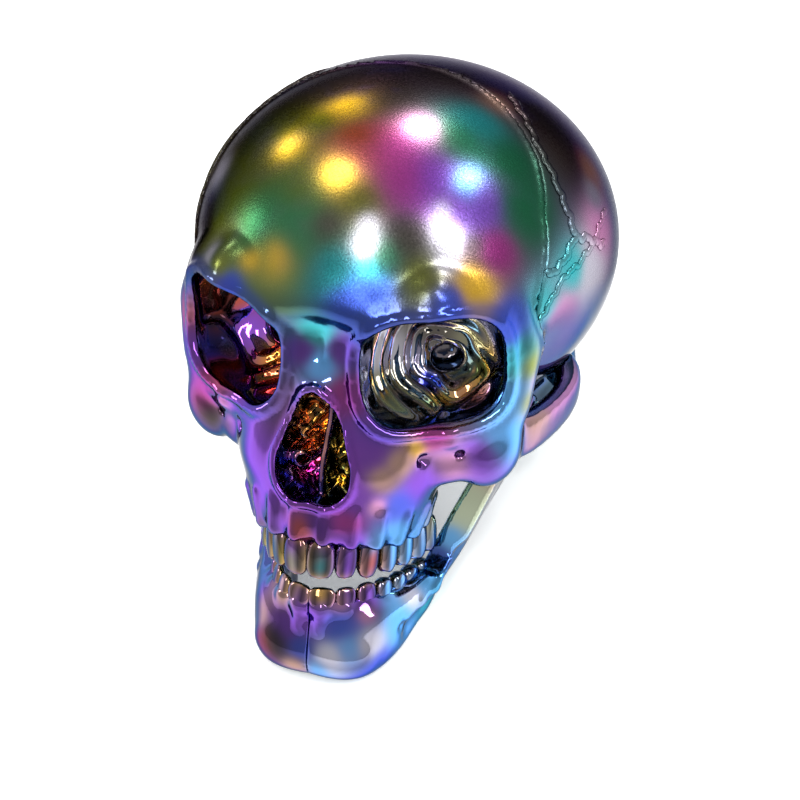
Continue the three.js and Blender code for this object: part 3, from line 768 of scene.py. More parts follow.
def front_field():
    """The raised face as a skin that ends in a rolled lip at the seam, with the sockets' and the
    nose's walls, the cheek arches, the bowls and bores cut out, their beads, and the pits."""
    p = grid(FRONT_LOW, FRONT_HIGH, FRONT_CELL)
    bone = head(p)
    hollow = bone + WALL
    outside = raised_face(p, bone)
    bowls = lined_bowl(p)
    bore = crumpled_bore(p)
    walls = np.minimum(socket_bowl(p, POCKET_WALL), nose_bore(p, POCKET_WALL))
    behind = behind_seam(p)
    lip = np.hypot(outside, behind - SEAM_LIP) - SEAM_LIP
    skin = melt(np.maximum(outside, -hollow), lip, FRONT_SOFT["seam"])
    skin = carve(skin, behind - FRONT_SOFT["seam"] / 4, FRONT_SOFT["seam"])
    solid = np.minimum(skin, np.maximum(walls, hollow - WALL / 2))
    arch = bar_field(arch_rings(), FRONT_LOW, solid.shape, FRONT_CELL)
    arch = np.minimum(arch, arch[::-1])
    arch = np.maximum(arch, -np.maximum(hollow - WALL - SEAM_GAP, behind))
    solid = melt(solid, arch, FRONT_SOFT["arch"])
    solid = carve(solid, bowls, FRONT_SOFT["bowl"])
    solid = carve(solid, bore, FRONT_SOFT["bore"])
    solid = melt(solid, np.hypot(bowls, outside) - BEAD["socket"], FRONT_SOFT["bead"])
    solid = melt(solid, np.hypot(bore, outside) - BEAD["nose"], FRONT_SOFT["bead"])
    solid = np.minimum(solid, np.maximum(nose_inside(p), bore - SCROLL_OVERLAP))
    side = (abs(p[0]), p[1], p[2])
    for across, up, size in PITS:
        pit = on_head([in_socket_point(across, 0, up)], PIT_LIFT)[0]
        solid = carve(solid, lobe(side, pit, [size, size, size]), FRONT_SOFT["pit"])
    return solid


front = cast("front_shell_skin", front_field(), FRONT_LOW, FRONT_CELL,
             "skull", "front_shell_metal", "front_shell")

# %% [markdown]
# A screw on each side carries the jaw. The rear shell makes room for the jaw's eye and for the
# nut, so the sizes of the pivot come before both. Neighbours along its axis keep the same gap.

# %% Sizes of the pivot
PIVOT_SIZES = {"eye_radius": 6.5, "eye_width": 7.0, "neck_radius": 10.5, "lug_width": 6.0,
               "lug_reach": 14.0, "recess_gap": 1.2}
SCREW = {"shank_radius": 1.9, "head_radius": 3.6, "head_height": 2.2, "slot_width": 0.9,
         "tip": 1.5, "bore_gap": 0.3}
WASHER = {"radius": 4.6, "thickness": 0.9}
NUT = {"radius": 4.0, "thickness": 3.2}
eye_inner = PIVOT[0] - PIVOT_SIZES["eye_width"] / 2
eye_outer = PIVOT[0] + PIVOT_SIZES["eye_width"] / 2
lug_outer = eye_inner - SEAM_GAP
lug_inner = lug_outer - PIVOT_SIZES["lug_width"]
bore_radius = SCREW["shank_radius"] + SCREW["bore_gap"]
print("pivot eye from", eye_inner, "to", eye_outer, "mm across")


def pivot_bar(p, radius, start, end):
    """A round bar along the pivot's axis between two places across the skull, on both sides."""
    round_part = np.hypot(p[1] - PIVOT[1], p[2] - PIVOT[2]) - radius
    across = abs(p[0])
    return np.maximum(round_part, np.maximum(start - across, across - end))


# %% [markdown]
# The back of a skull carries relief too: a bump and a line low on the nape, where muscles held on,
# and the rim of the round hole for the spine with its two joint pads. It is melted onto the head
# like that of the face.

# %% Relief of the back
BACK_SOFT = {"bump": 6.0, "line": 5.0, "rim": 3.0, "pad": 2.5}
FORAMEN = {"radius": 14.0, "shares": [0, 0.42, -1.2], "rim_out": 2.2, "rim_radius": 2.0}
JOINT_PAD = {"middle": [12.5, 2.5, -30.5], "size": [4.5, 9, 4]}
NAPE_BUMP = {"middle": [0, 59.7, 7], "size": [8, 3.6, 5]}
NAPE_LINE = [[0, 64, 8], [22, 60, 12], [40, 44, 8], [50, 26, 2]]
NAPE = {"sunk": 1.45, "radius": 1.6}


def from_spine_hole(p):
    """Distance across from the edge of the spine's hole, negative inside it."""
    middle = place(*FORAMEN["shares"])
    return np.hypot(p[0] - middle[0], p[1] - middle[1]) - FORAMEN["radius"]


def raised_back(p, bone):
    """The bone with the nape's bump and line, the spine hole's rim and the joint pads melted on."""
    side = (abs(p[0]), p[1], p[2])
    bump = lobe(p, NAPE_BUMP["middle"], NAPE_BUMP["size"])
    outside = melt(bone, bump, BACK_SOFT["bump"])
    line = rods(side, on_head(NAPE_LINE, -NAPE["sunk"]), NAPE["radius"])
    outside = melt(outside, line, BACK_SOFT["line"])
    ring = from_spine_hole(p) - FORAMEN["rim_out"]
    rim = np.hypot(ring, bone) - FORAMEN["rim_radius"]
    outside = melt(outside, np.maximum(rim, p[2]), BACK_SOFT["rim"])
    pad = lobe(side, JOINT_PAD["middle"], JOINT_PAD["size"])
    return melt(outside, pad, BACK_SOFT["pad"])


print("spine's hole, level:", place(*FORAMEN["shares"]).round(1), "radius", FORAMEN["radius"], "mm")

# %% [markdown]
# The rear shell is the rest of the head as a skin behind the seam, with the knobs behind the ears.
# It is cut back from the sockets' walls and from the moving jaw, and a lug on each side takes the
# jaw's screw. It ends a hair above the table, so that the floor doesn't cut it.

# %% Rear shell
REAR_CELL = 1.1
REAR_LOW = np.array([-72.0, -62.0, -38.0])
REAR_HIGH = np.array([72.0, 68.0, 104.0])
REAR_SOFT = {"hole": 1.2, "mastoid": 4.0, "lug": 0.8, "ear": 1.6}
TABLE_LIFT = 0.06
MASTOID_SHARES = ([0.64, 0.4, -0.84], [0.15, 0.12, 0.27])
EAR = {"start": [40, 0.5, -0.5], "end": [70, -0.5, 0.5], "radius": 3.4, "flare": 0.8}


def above_table(p):
    """Height of level points, given as three arrays, over a hair above the table."""
    return sum(c * t for c, t in zip(p, TILT[2])) + LAID_AT[2] - TABLE_LIFT


def lug(p):
    """The plate for the screw: round at the pivot and carried up into the shell."""
    foot = PIVOT * [0, 1, 1]
    flat = rod((0 * p[0], p[1], p[2]), foot, foot + [0, 0, PIVOT_SIZES["lug_reach"]],
               PIVOT_SIZES["eye_radius"])
    return np.maximum(flat, np.maximum(lug_inner - p[0], p[0] - lug_outer))


def rear_field():
    """The raised back as a skin behind the seam, with the recesses, knobs, lugs and bores."""
    p = grid(REAR_LOW, REAR_HIGH, REAR_CELL)
    side = (abs(p[0]), p[1], p[2])
    bone = head(p)
    solid = np.maximum(raised_back(p, bone), -(bone + WALL))
    solid = carve(solid, np.maximum(from_spine_hole(p), p[2]), REAR_SOFT["hole"])
    solid = np.maximum(solid, behind_seam(p) + SEAM_GAP)
    solid = np.maximum(solid, -socket_bowl(p, POCKET_WALL + SEAM_GAP))
    gap = PIVOT_SIZES["recess_gap"]
    nut_end = lug_inner - SEAM_GAP - NUT["thickness"] - SCREW["tip"] - gap
    solid = np.maximum(solid, -pivot_bar(p, PIVOT_SIZES["eye_radius"] + gap, lug_outer, FAR))
    solid = np.maximum(solid, -pivot_bar(p, NUT["radius"] + gap, nut_end, lug_inner))
    at, size = MASTOID_SHARES
    solid = melt(solid, lobe(side, place(*at), reach(*size)), REAR_SOFT["mastoid"])
    solid = melt(solid, lug(side), REAR_SOFT["lug"])
    solid = np.maximum(solid, -pivot_bar(p, bore_radius, 0, FAR))
    ear = rod(side, EAR["start"], EAR["end"], EAR["radius"] - EAR["flare"],
              EAR["radius"] + EAR["flare"])
    return np.maximum(carve(solid, ear, REAR_SOFT["ear"]), -above_table(p))


rear = cast("rear_shell_skin", rear_field(), REAR_LOW, REAR_CELL,
            "skull", "rear_shell_metal", "rear_shell")

# %% [markdown]
# A jaw half is one bar carried from the chin back along the teeth and up the branch, tall where
# its two horns rise and leaning outwards as it climbs. Each row below gives, for one place along
# it, how far out and back it is, its lower and upper edge, its width and its lean.

# %% The jaw's bar
JAW_SHARES = [
    [-0.04, -0.79, -2.2, -1.78, 0.2, 0],
    [0.14, -0.78, -2.2, -1.78, 0.19, 0],
    [0.24, -0.725, -2.18, -1.77, 0.18, 0.03],
    [0.3, -0.61, -2.12, -1.75, 0.17, 0.1],
    [0.325, -0.49, -2.04, -1.7, 0.16, 0.21],
    [0.34, -0.4, -1.97, -1.64, 0.15, 0.34],
    [0.335, -0.35, -1.93, -1.05, 0.14, 0.38],
    [0.335, -0.315, -1.88, -0.86, 0.13, 0.38],
    [0.335, -0.255, -1.78, -0.93, 0.13, 0.38],
    [0.335, -0.19, -1.6, -1.04, 0.13, 0.37],
    [0.335, -0.11, -1.4, -1.06, 0.13, 0.37],
    [0.34, -0.03, -1.2, -0.94, 0.13, 0.36],
    [0.35, 0.04, -1.06, -0.88, 0.12, 0.35],
]
JAW_LEAN_SHARE = -1.95
JAW_RINGS, JAW_AROUND = 220, 64


def jaw_rings(steps=JAW_RINGS, around=JAW_AROUND):
    """Rounded squares between a lower and an upper edge, square to the way that the bar runs."""
    share = np.linspace(0, 1, steps)
    step = 1 / (4 * len(JAW_SHARES))
    rows = through(JAW_SHARES, share)
    low, high = (np.stack([place(r[0], r[1], r[k]) for r in rows]) for k in (2, 3))
    edge = lambda s: np.stack([place(r[0], r[1], r[2]) for r in through(JAW_SHARES, s)])
    ahead = (edge(share + step) - edge(share - step)) * [1, 1, 0]
    ahead /= np.linalg.norm(ahead, axis=1, keepdims=True)
    side, rise = rounded_square(around)
    up = (1 + rise)[None, :, None] / 2
    spots = low[:, None, :] * (1 - up) + high[:, None, :] * up
    half = (girth(rows[:, 4]) / 2)[:, None] * side[None, :]
    spots[..., 0] += rows[:, 5][:, None] * (spots[..., 2] - place(0, 0, JAW_LEAN_SHARE)[2])
    spots[..., 0] += ahead[:, 1][:, None] * half
    spots[..., 1] -= ahead[:, 0][:, None] * half
    return spots


def on_jaw(shares):
    """Points of the bar's outer face, from shares of its length and of its height there."""
    spots = jaw_rings()
    quarter, half = JAW_AROUND // 4, JAW_AROUND // 2
    chosen = []
    for along, up in shares:
        ring = spots[int(along * (JAW_RINGS - 1))]
        outer = ring[: half + 1] if ring[quarter][0] > ring[-quarter][0] else ring[half:]
        height = ring[:, 2].min() + up * np.ptp(ring[:, 2])
        chosen.append(outer[abs(outer[:, 2] - height).argmin()])
    return np.array(chosen)


print("jaw's bar:", JAW_RINGS, "rings of", JAW_AROUND, "points")

# %% [markdown]
# Chin knob, tooth ridge, roots, a slanting ridge and the pivot's eye melt into the bar, and a
# hollow and a pit are taken from its side. Places on the side are shares of the bar's length and
# of its height there, so they stay on it when it changes. The other half mirrors the first.

# %% Jaw halves
JAW_CELL = 0.75
JAW_LOW = np.array([-2.0, -96.0, -90.0])
JAW_HIGH = np.array([56.0, -3.0, -1.0])
CHIN_GAP = 0.05
CHIN_SHARES = ([0.1, -0.774, -2.06], [0.19, 0.085, 0.13])
JAW_PIT_SHARES = [0.24, 0.56]
JAW_HOLLOW_SHARES = [[0.27, 0.4], [0.34, 0.4], [0.41, 0.42], [0.47, 0.45]]
JAW_RIDGE_SHARES = [[0.26, 0.64], [0.31, 0.7], [0.37, 0.76], [0.43, 0.84]]
JAW_PIT = {"off": [0.5, -0.5, 0], "size": [1.9, 1.9, 1.6]}
JAW_HOLLOW = {"radius": 7.0, "depth": 1.8}
JAW_RIDGE = {"radii": [0.4, 1.1, 1.3, 0.4], "sunk": 0.6}
TOOTH_RIDGE = {"radius": 3.0, "back": -0.6, "down": 3.2}
LOWER_ROOTS = {"rise": -3.0, "length": -8.0, "size": 2.2}
JAW_SOFT = {"chin": 3.5, "teeth": 3.0, "root": 2.0, "hollow": 2.5, "ridge": 2.5, "pit": 1.0,
            "eye": 0.8}


def jaw_field():
    """The left half: the bar with all that melts into it, cut at the chin, the eye and the table."""
    p = grid(JAW_LOW, JAW_HIGH, JAW_CELL)
    shape = np.broadcast_shapes(*(c.shape for c in p))
    bone = bar_field(jaw_rings(), JAW_LOW, shape, JAW_CELL)
    at, size = CHIN_SHARES
    bone = melt(bone, lobe(p, place(*at), reach(*size)), JAW_SOFT["chin"])
    middles, _, _ = tooth_places(LOWER_ARCH_SHARES)
    row = np.concatenate([[[0, middles[0][1], middles[0][2]]], middles])
    row = row - [0, TOOTH_RIDGE["back"], TOOTH_RIDGE["down"]]
    bone = melt(bone, rods(p, row, TOOTH_RIDGE["radius"]), JAW_SOFT["teeth"])
    bone = melt(bone, roots(p, LOWER_ARCH_SHARES, **LOWER_ROOTS), JAW_SOFT["root"])
    ball_out = JAW_HOLLOW["radius"] - JAW_HOLLOW["depth"]
    hollow = on_jaw(JAW_HOLLOW_SHARES) + [ball_out, 0, 0]
    bone = carve(bone, rods(p, hollow, JAW_HOLLOW["radius"]), JAW_SOFT["hollow"])
    ridge = on_jaw(JAW_RIDGE_SHARES) - [JAW_RIDGE["sunk"], 0, 0]
    radii = JAW_RIDGE["radii"]
    for a, b, thick, end_thick in zip(ridge, ridge[1:], radii, radii[1:]):
        bone = melt(bone, rod(p, a, b, thick, end_thick), JAW_SOFT["ridge"])
    pit = on_jaw([JAW_PIT_SHARES])[0] + JAW_PIT["off"]
    bone = carve(bone, lobe(p, pit, JAW_PIT["size"]), JAW_SOFT["pit"])
    eye_radius = PIVOT_SIZES["eye_radius"]
    bone = np.maximum(bone, -pivot_bar(p, PIVOT_SIZES["neck_radius"], 0, eye_inner))
    bone = np.maximum(bone, -pivot_bar(p, eye_radius + SEAM_GAP, eye_outer, FAR))
    bone = melt(bone, pivot_bar(p, eye_radius, eye_inner, eye_outer), JAW_SOFT["eye"])
    bone = np.maximum(bone, -pivot_bar(p, bore_radius, 0, FAR))
    bone = np.maximum(bone, CHIN_GAP - p[0])
    return np.maximum(bone, -above_table(p))


jaw_points, jaw_faces = skin_of(jaw_field(), JAW_LOW, JAW_CELL)
jaw_left = mesh_piece("jaw_left_skin", jaw_points, jaw_faces, "jaw",
                      "jaw_left_metal", "jaw_left")
mirrored_faces = [f[:, ::-1] for f in jaw_faces]
jaw_right = mesh_piece("jaw_right_skin", jaw_points * [-1, 1, 1], mirrored_faces, "jaw",
                       "jaw_right_metal", "jaw_right")
print("jaw halves:", len(jaw_points), "points each")

# %% [markdown]
# The teeth are cast with the shells, yet each has its own crown: chisels in front, a pointed
# canine, two-cusped premolars and broad molars. A crown is a ball drawn out towards a box, whose
# depth thins towards the biting edge for the front teeth and whose edge rises in cusps for the
# back ones. The neck of each sinks into the gum ridge.

# %% Crowns
TOOTH_WIDTH_SHARES = [1.16, 0.92, 0.98, 0.9, 0.9, 1.08, 0.88]
EDGE_DEPTH_SHARES = [0.3, 0.32, 0.4, 0.72, 0.78, 0.92, 0.92]
CUSP_SHARES = [0, 0, 0, 0.1, 0.1, 0.12, 0.12]
POINT_SHARES = [0, 0, 0.16, 0.05, 0.03, 0, 0]
CROWN_AROUND, CROWN_ROWS = 28, 18
CROWN_FILL_SHARE = 0.99
CROWN_POWER = 3.2
CROWN_NECK = {"least_share": 0.8, "more_share": 0.2, "run_share": 0.75, "start_share": 0.12}


def crown_grid():
    """The two parameters of a crown: height from -1 at its neck to 1 at its edge, and turn."""
    v = np.linspace(-1, 1, CROWN_ROWS)[:, None]
    return v, full_turn(CROWN_AROUND)[None, :]


def crown(half_width, half_depth, half_height, kind):
    """Squared ball in (turn, height): w(v) across, d(v) deep, h(v) high with cusps at the edge."""
    v, turn = crown_grid()
    ring = np.power(1 - abs(v) ** CROWN_POWER, 1 / CROWN_POWER)
    square = np.power(abs(np.sin(turn)) ** 3 + abs(np.cos(turn)) ** 3, -1 / 3)
    edge = np.clip((v + 1) / 2, 0, 1)
    along = np.clip(edge * CROWN_NECK["run_share"] + CROWN_NECK["start_share"], 0, 1)
    neck = CROWN_NECK["least_share"] + CROWN_NECK["more_share"] * np.sin(math.pi * along)
    thin = 1 + (EDGE_DEPTH_SHARES[kind] - 1) * edge**1.3
    x = half_width * ring * neck * square * np.sin(turn)
    y = half_depth * ring * thin * square * np.cos(turn)
    cusps = CUSP_SHARES[kind] * np.cos(2 * turn) ** 2 * ring * edge**2
    point = POINT_SHARES[kind] * (1 - (x / half_width) ** 2) * edge**3
    z = half_height * (v + cusps + point) + 0 * turn
    return np.stack(np.broadcast_arrays(x, y, z), -1)


print("one crown:", crown(1, 1, 1, 0).shape, "points")

# %% [markdown]
# The crowns of a row follow the half oval of its arch. They are joined to one mesh for each body:
# the upper row rides on the skull, and the lower one on the jaw as a left and a right half.

# %% Rows of teeth
UPPER_TOOTH = {"half_depth": 4.0, "half_height": 6.5, "lean": 0.12}
LOWER_TOOTH = {"half_depth": 2.8, "half_height": 3.5, "lean": 0.05}


def joined(parts):
    """Closed bars or crowns as one mesh, the faces of each counted on from the one before."""
    points, quads, caps, start = [], [], [], 0
    for own, four, three in parts:
        points.append(own)
        quads.append(four + start)
        caps.append(three + start)
        start += len(own)
    return np.concatenate(points), [np.concatenate(quads), np.concatenate(caps)]


def tooth_row(arch, size, down, sides):
    """Crowns set along the half oval of each side, edges down for the upper teeth."""
    shares = np.array(TOOTH_WIDTH_SHARES) / np.mean(TOOTH_WIDTH_SHARES)
    crowns = []
    for side in sides:
        middles, ahead, half = tooth_places(arch)
        for kind, (middle, (ax, ay)) in enumerate(zip(middles, ahead)):
            width = half * shares[kind] * CROWN_FILL_SHARE
            shape = crown(width, size["half_depth"], size["half_height"], kind)
            flip = -1 if down else 1
            x, y, z = shape[..., 0], shape[..., 1], shape[..., 2] * flip
            y = y + size["lean"] * z * flip
            out = np.array([ay, -ax])
            spot = np.stack([middle[0] + x * ax + y * out[0], middle[1] + x * ay + y * out[1],
                             middle[2] + z], -1)
            spot[..., 0] *= side
            own, four, three = closed(spot)
            crowns.append((own, *outwards(own - own.mean(0), four, three)))
    return joined(crowns)


def teeth_piece(name, arch, size, down, sides, body, slot):
    """One row of crowns as a piece of its own."""
    points, faces = tooth_row(arch, size, down, sides)
    print(name, len(points), "points")
    return mesh_piece(name, points, faces, body, slot)


upper_teeth = teeth_piece("upper_teeth", UPPER_ARCH_SHARES, UPPER_TOOTH, True, (1, -1),
                          "skull", "front_shell_metal")
lower_left = teeth_piece("lower_teeth_left", LOWER_ARCH_SHARES, LOWER_TOOTH, False, (1,),
                         "jaw", "jaw_left_metal")
lower_right = teeth_piece("lower_teeth_right", LOWER_ARCH_SHARES, LOWER_TOOTH, False, (-1,),
                          "jaw", "jaw_right_metal")

# %% [markdown]
# Sutures are the wandering lines where the bones of a skull knit together. The moulding has them
# as raised, toothed beads. Each is a flattened round bar carried along a path that is drawn onto
# the head, with a wiggle made of three sine waves across the path.

# %% A bead along a path
CORONAL_SHARES = [[0.436, -0.093, 0.896], [0.696, -0.307, 0.65], [0.88, -0.352, 0.32],
                  [0.907, -0.344, 0.243], [0.888, -0.442, 0.122], [0.843, -0.533, 0.071]]
BRANCH_SHARES = [[0.907, -0.344, 0.243], [0.956, -0.222, 0.194], [0.985, -0.093, 0.15]]
SCALE_SHARES = [[0.944, -0.009, 0.331], [0.96, -0.124, 0.252], [0.939, -0.329, 0.101],
                [0.903, -0.425, 0.052], [0.861, -0.499, -0.094], [0.835, -0.54, -0.18]]
BEAD_ROUND = {"across_share": 1.1, "up_share": 0.62}
SUTURE_WAVES = [
    # height as a share of the wiggle, turns in radians for each millimetre, times the phase
    (1, 0.9, 1),
    (0.5, 1.9, 2),
    (0.5, 0.37, 3),
]
SUTURE_FADE, SUTURE_END_SHARE = 18, 0.05


def unit(vectors):
    """Each row divided by its length."""
    return vectors / np.linalg.norm(vectors, axis=1, keepdims=True)


def suture_rings(shares, radius, wiggle, phase, steps=420, around=10):
    """Rings round a path on the head: path + across * w(s), flattened to the bone, where w is the
    sum of three sines of the way along, and the ends fade to points."""
    share = np.linspace(0, 1, steps)
    path = on_head(through([place(*s) for s in shares], share), 0)
    run = np.concatenate([[0], np.cumsum(np.linalg.norm(np.diff(path, axis=0), axis=1))])
    slope = unit(slope_at(head, path))
    across = np.cross(slope, unit(np.gradient(path, axis=0)))
    wave = sum(high * np.sin(run * often + times * phase) for high, often, times in SUTURE_WAVES)
    path = on_head(path + across * (wiggle * wave)[:, None], 0)
    across = np.cross(slope, unit(np.gradient(path, axis=0)))
    fade = np.clip(np.minimum(share, 1 - share) * SUTURE_FADE, SUTURE_END_SHARE, 1)[:, None, None]
    turn = full_turn(around)[None, :, None]
    beside = BEAD_ROUND["across_share"] * np.cos(turn) * across[:, None, :]
    upright = BEAD_ROUND["up_share"] * np.sin(turn) * slope[:, None, :]
    return path[:, None, :] + radius * fade * (beside + upright)


print("one bead:", suture_rings(BRANCH_SHARES, 1, 0.5, 0).shape)

# %% [markdown]
# The long suture crosses the vault from side to side and forks at the temple, and a second one
# bounds the temple below it. The beads of each are joined to one mesh, and the phase of the waves
# changes from line to line and from side to side, so that no two of them wander alike.

# %% Sutures
CORONAL = {"radius": 1.25, "wiggle": 0.55}
TEMPORAL = {"radius": 1.0, "wiggle": 0.45}
LINE_PHASE, SIDE_PHASE = 1.3, 0.4


def suture(name, lines, radius, wiggle):
    """All beads of one suture, on both sides of the skull, as one piece."""
    beads = []
    for side in (1, -1):
        for number, shares in enumerate(lines):
            phase = LINE_PHASE * number + SIDE_PHASE * side
            rings = suture_rings(shares, radius, wiggle, phase)
            rings[..., 0] *= side
            own, four, three = closed(rings)
            if side < 0:
                four, three = four[:, ::-1], three[:, ::-1]
            beads.append((own, four, three))
    points, faces = joined(beads)
    print(name, len(points), "points")
    return mesh_piece(name, points, faces, "skull", "rear_shell_metal")


coronal = suture("coronal_suture", [CORONAL_SHARES, BRANCH_SHARES], **CORONAL)
temporal = suture("temporal_suture", [SCALE_SHARES], **TEMPORAL)

# %% [markdown]
# A slotted screw with a washer and a nut holds each side of the jaw. Such parts are turned on a
# lathe, so each is a profile carried round the pivot's axis. The slot is sunk afterwards, where
# the head's points lie near the middle line.

# %% Screws
AROUND = 72
washer_inner = eye_outer + SEAM_GAP
head_inner = washer_inner + WASHER["thickness"] + SEAM_GAP
nut_outer = lug_inner - SEAM_GAP
nut_inner = nut_outer - NUT["thickness"]


def about_pivot(along, radius, turn):
    """Points at a place along the pivot's axis, a radius and a turn about it."""
    y = PIVOT[1] + radius * np.cos(turn)
    z = PIVOT[2] + radius * np.sin(turn)
    return np.stack(np.broadcast_arrays(along, y, z), -1)


def screw_rings():
    """Profile from the tip to the crown of the head; a slot is sunk where the crown is crossed."""
    head, high = SCREW["head_radius"], SCREW["head_height"]
    shank, tip = SCREW["shank_radius"], SCREW["tip"]
    dome = np.linspace(0.08, 1, 30) * math.pi / 2
    radius = np.concatenate([[0.4, shank - 0.3, shank, shank, head - 0.2, head], head * np.cos(dome)])
    start = nut_inner - tip
    along = np.concatenate([[start, start, start + tip, head_inner, head_inner, head_inner + 0.2],
                            head_inner + high * (0.15 + 0.85 * np.sin(dome))])
    rings = about_pivot(along[:, None], radius[:, None], full_turn(AROUND)[None, :])
    in_slot = abs(rings[..., 2] - PIVOT[2]) < SCREW["slot_width"] / 2
    floor = head_inner + high * 0.5
    rings[..., 0] = np.where(in_slot, np.minimum(rings[..., 0], floor), rings[..., 0])
    return rings


print("screw:", screw_rings().shape, "points")

# %% [markdown]
# Washer and nut are rings: a rounded box profile between two radii, closed on itself and carried
# round the axis. The nut's six flats come from dividing its radius by the cosine of the angle
# from the middle of the nearest flat.

# %% Washers and nuts
def looped_ring(inner, outer_of, start, end, corner=0.35, steps=32):
    """A rounded box profile between two radii, carried round: radius = mid + half * c, where c and
    s are the cosine and sine raised to a small power."""
    loop, turn = full_turn(steps), full_turn(AROUND)
    c = np.sign(np.cos(loop)) * abs(np.cos(loop)) ** corner
    s = np.sign(np.sin(loop)) * abs(np.sin(loop)) ** corner
    outer = outer_of(turn)
    radius = (inner + outer)[:, None] / 2 + (outer - inner)[:, None] / 2 * c[None, :]
    along = (start + end) / 2 + (end - start) / 2 * s
    return about_pivot(along[None, :], radius, turn[:, None])


def loop_faces(rings, around):
    """Quads of a ring that closes on itself both ways."""
    i, j = np.meshgrid(np.arange(rings), np.arange(around), indexing="ij")
    ahead, beside = (i + 1) % rings, (j + 1) % around
    return np.stack([i * around + j, i * around + beside, ahead * around + beside, ahead * around + j],
                    -1).reshape(-1, 4)


def fixing(name, points, faces, side):
    """A turned part on one side, mirrored for the right, in place of its CAD node."""
    node = f"{name}_{side}"
    if side == "right":
        points, faces = points * [-1, 1, 1], [f[:, ::-1] for f in faces]
    return mesh_piece(f"{node}_turned", points, faces, "skull", "fixing_steel", node)


def hexagon(turn):
    """The nut's radius at a turn: half its width over flats, over the cosine from a flat."""
    from_flat = (turn + math.pi / 6) % (math.pi / 3) - math.pi / 6
    return NUT["radius"] * math.cos(math.pi / 6) / np.cos(from_flat)


def round_washer(turn):
    """The washer's radius, the same at each turn."""
    return WASHER["radius"] + 0 * turn


washer_outer = washer_inner + WASHER["thickness"]
fixings = []
for side in ("left", "right"):
    own, four, three = closed(screw_rings())
    fixings.append(fixing("pivot_screw", own, list(outwards(own - own.mean(0), four, three)), side))
    for name, outer_of, start, end in (
        ("pivot_washer", round_washer, washer_inner, washer_outer),
        ("pivot_nut", hexagon, nut_inner, nut_outer),
    ):
        ring = looped_ring(bore_radius, outer_of, start, end)
        fixings.append(fixing(name, ring.reshape(-1, 3), [loop_faces(*ring.shape[:2])], side))
print("fixings:", [f.name for f in fixings])

# %% [markdown]
# The rainbow comes from a clear film over bright metal: light that bounces off its top and its
# bottom cancels some colours, and which ones depends on the film's thickness. So the colours lie
# on a ring, and each is given with its place on it. Five more, off the ring, stand for
# places where the metal mirrors something dark, brown or plain.

# %% Colours of the film
RAINBOW = {
    "pale": (0.0, (0.62, 0.60, 0.68)), "tan": (0.09, (0.45, 0.27, 0.20)),
    "gold": (0.17, (0.78, 0.46, 0.04)), "olive": (0.27, (0.10, 0.11, 0.02)),
    "green": (0.36, (0.02, 0.16, 0.07)), "teal": (0.45, (0.03, 0.30, 0.32)),
    "sky": (0.54, (0.12, 0.42, 0.85)), "blue": (0.63, (0.05, 0.09, 0.50)),
    "violet": (0.72, (0.16, 0.05, 0.38)), "magenta": (0.82, (0.42, 0.05, 0.28)),
    "pink": (0.91, (0.62, 0.28, 0.48)),
}
CLOUD_COLOURS = {name: ring[1] for name, ring in RAINBOW.items()}
CLOUD_COLOURS |= {"rust": (0.32, 0.06, 0.02), "night": (0.03, 0.026, 0.022),
                  "moss": (0.27, 0.26, 0.17), "sage": (0.42, 0.47, 0.33),
                  "amber": (0.65, 0.24, 0.02)}
print("colours:", ", ".join(CLOUD_COLOURS))
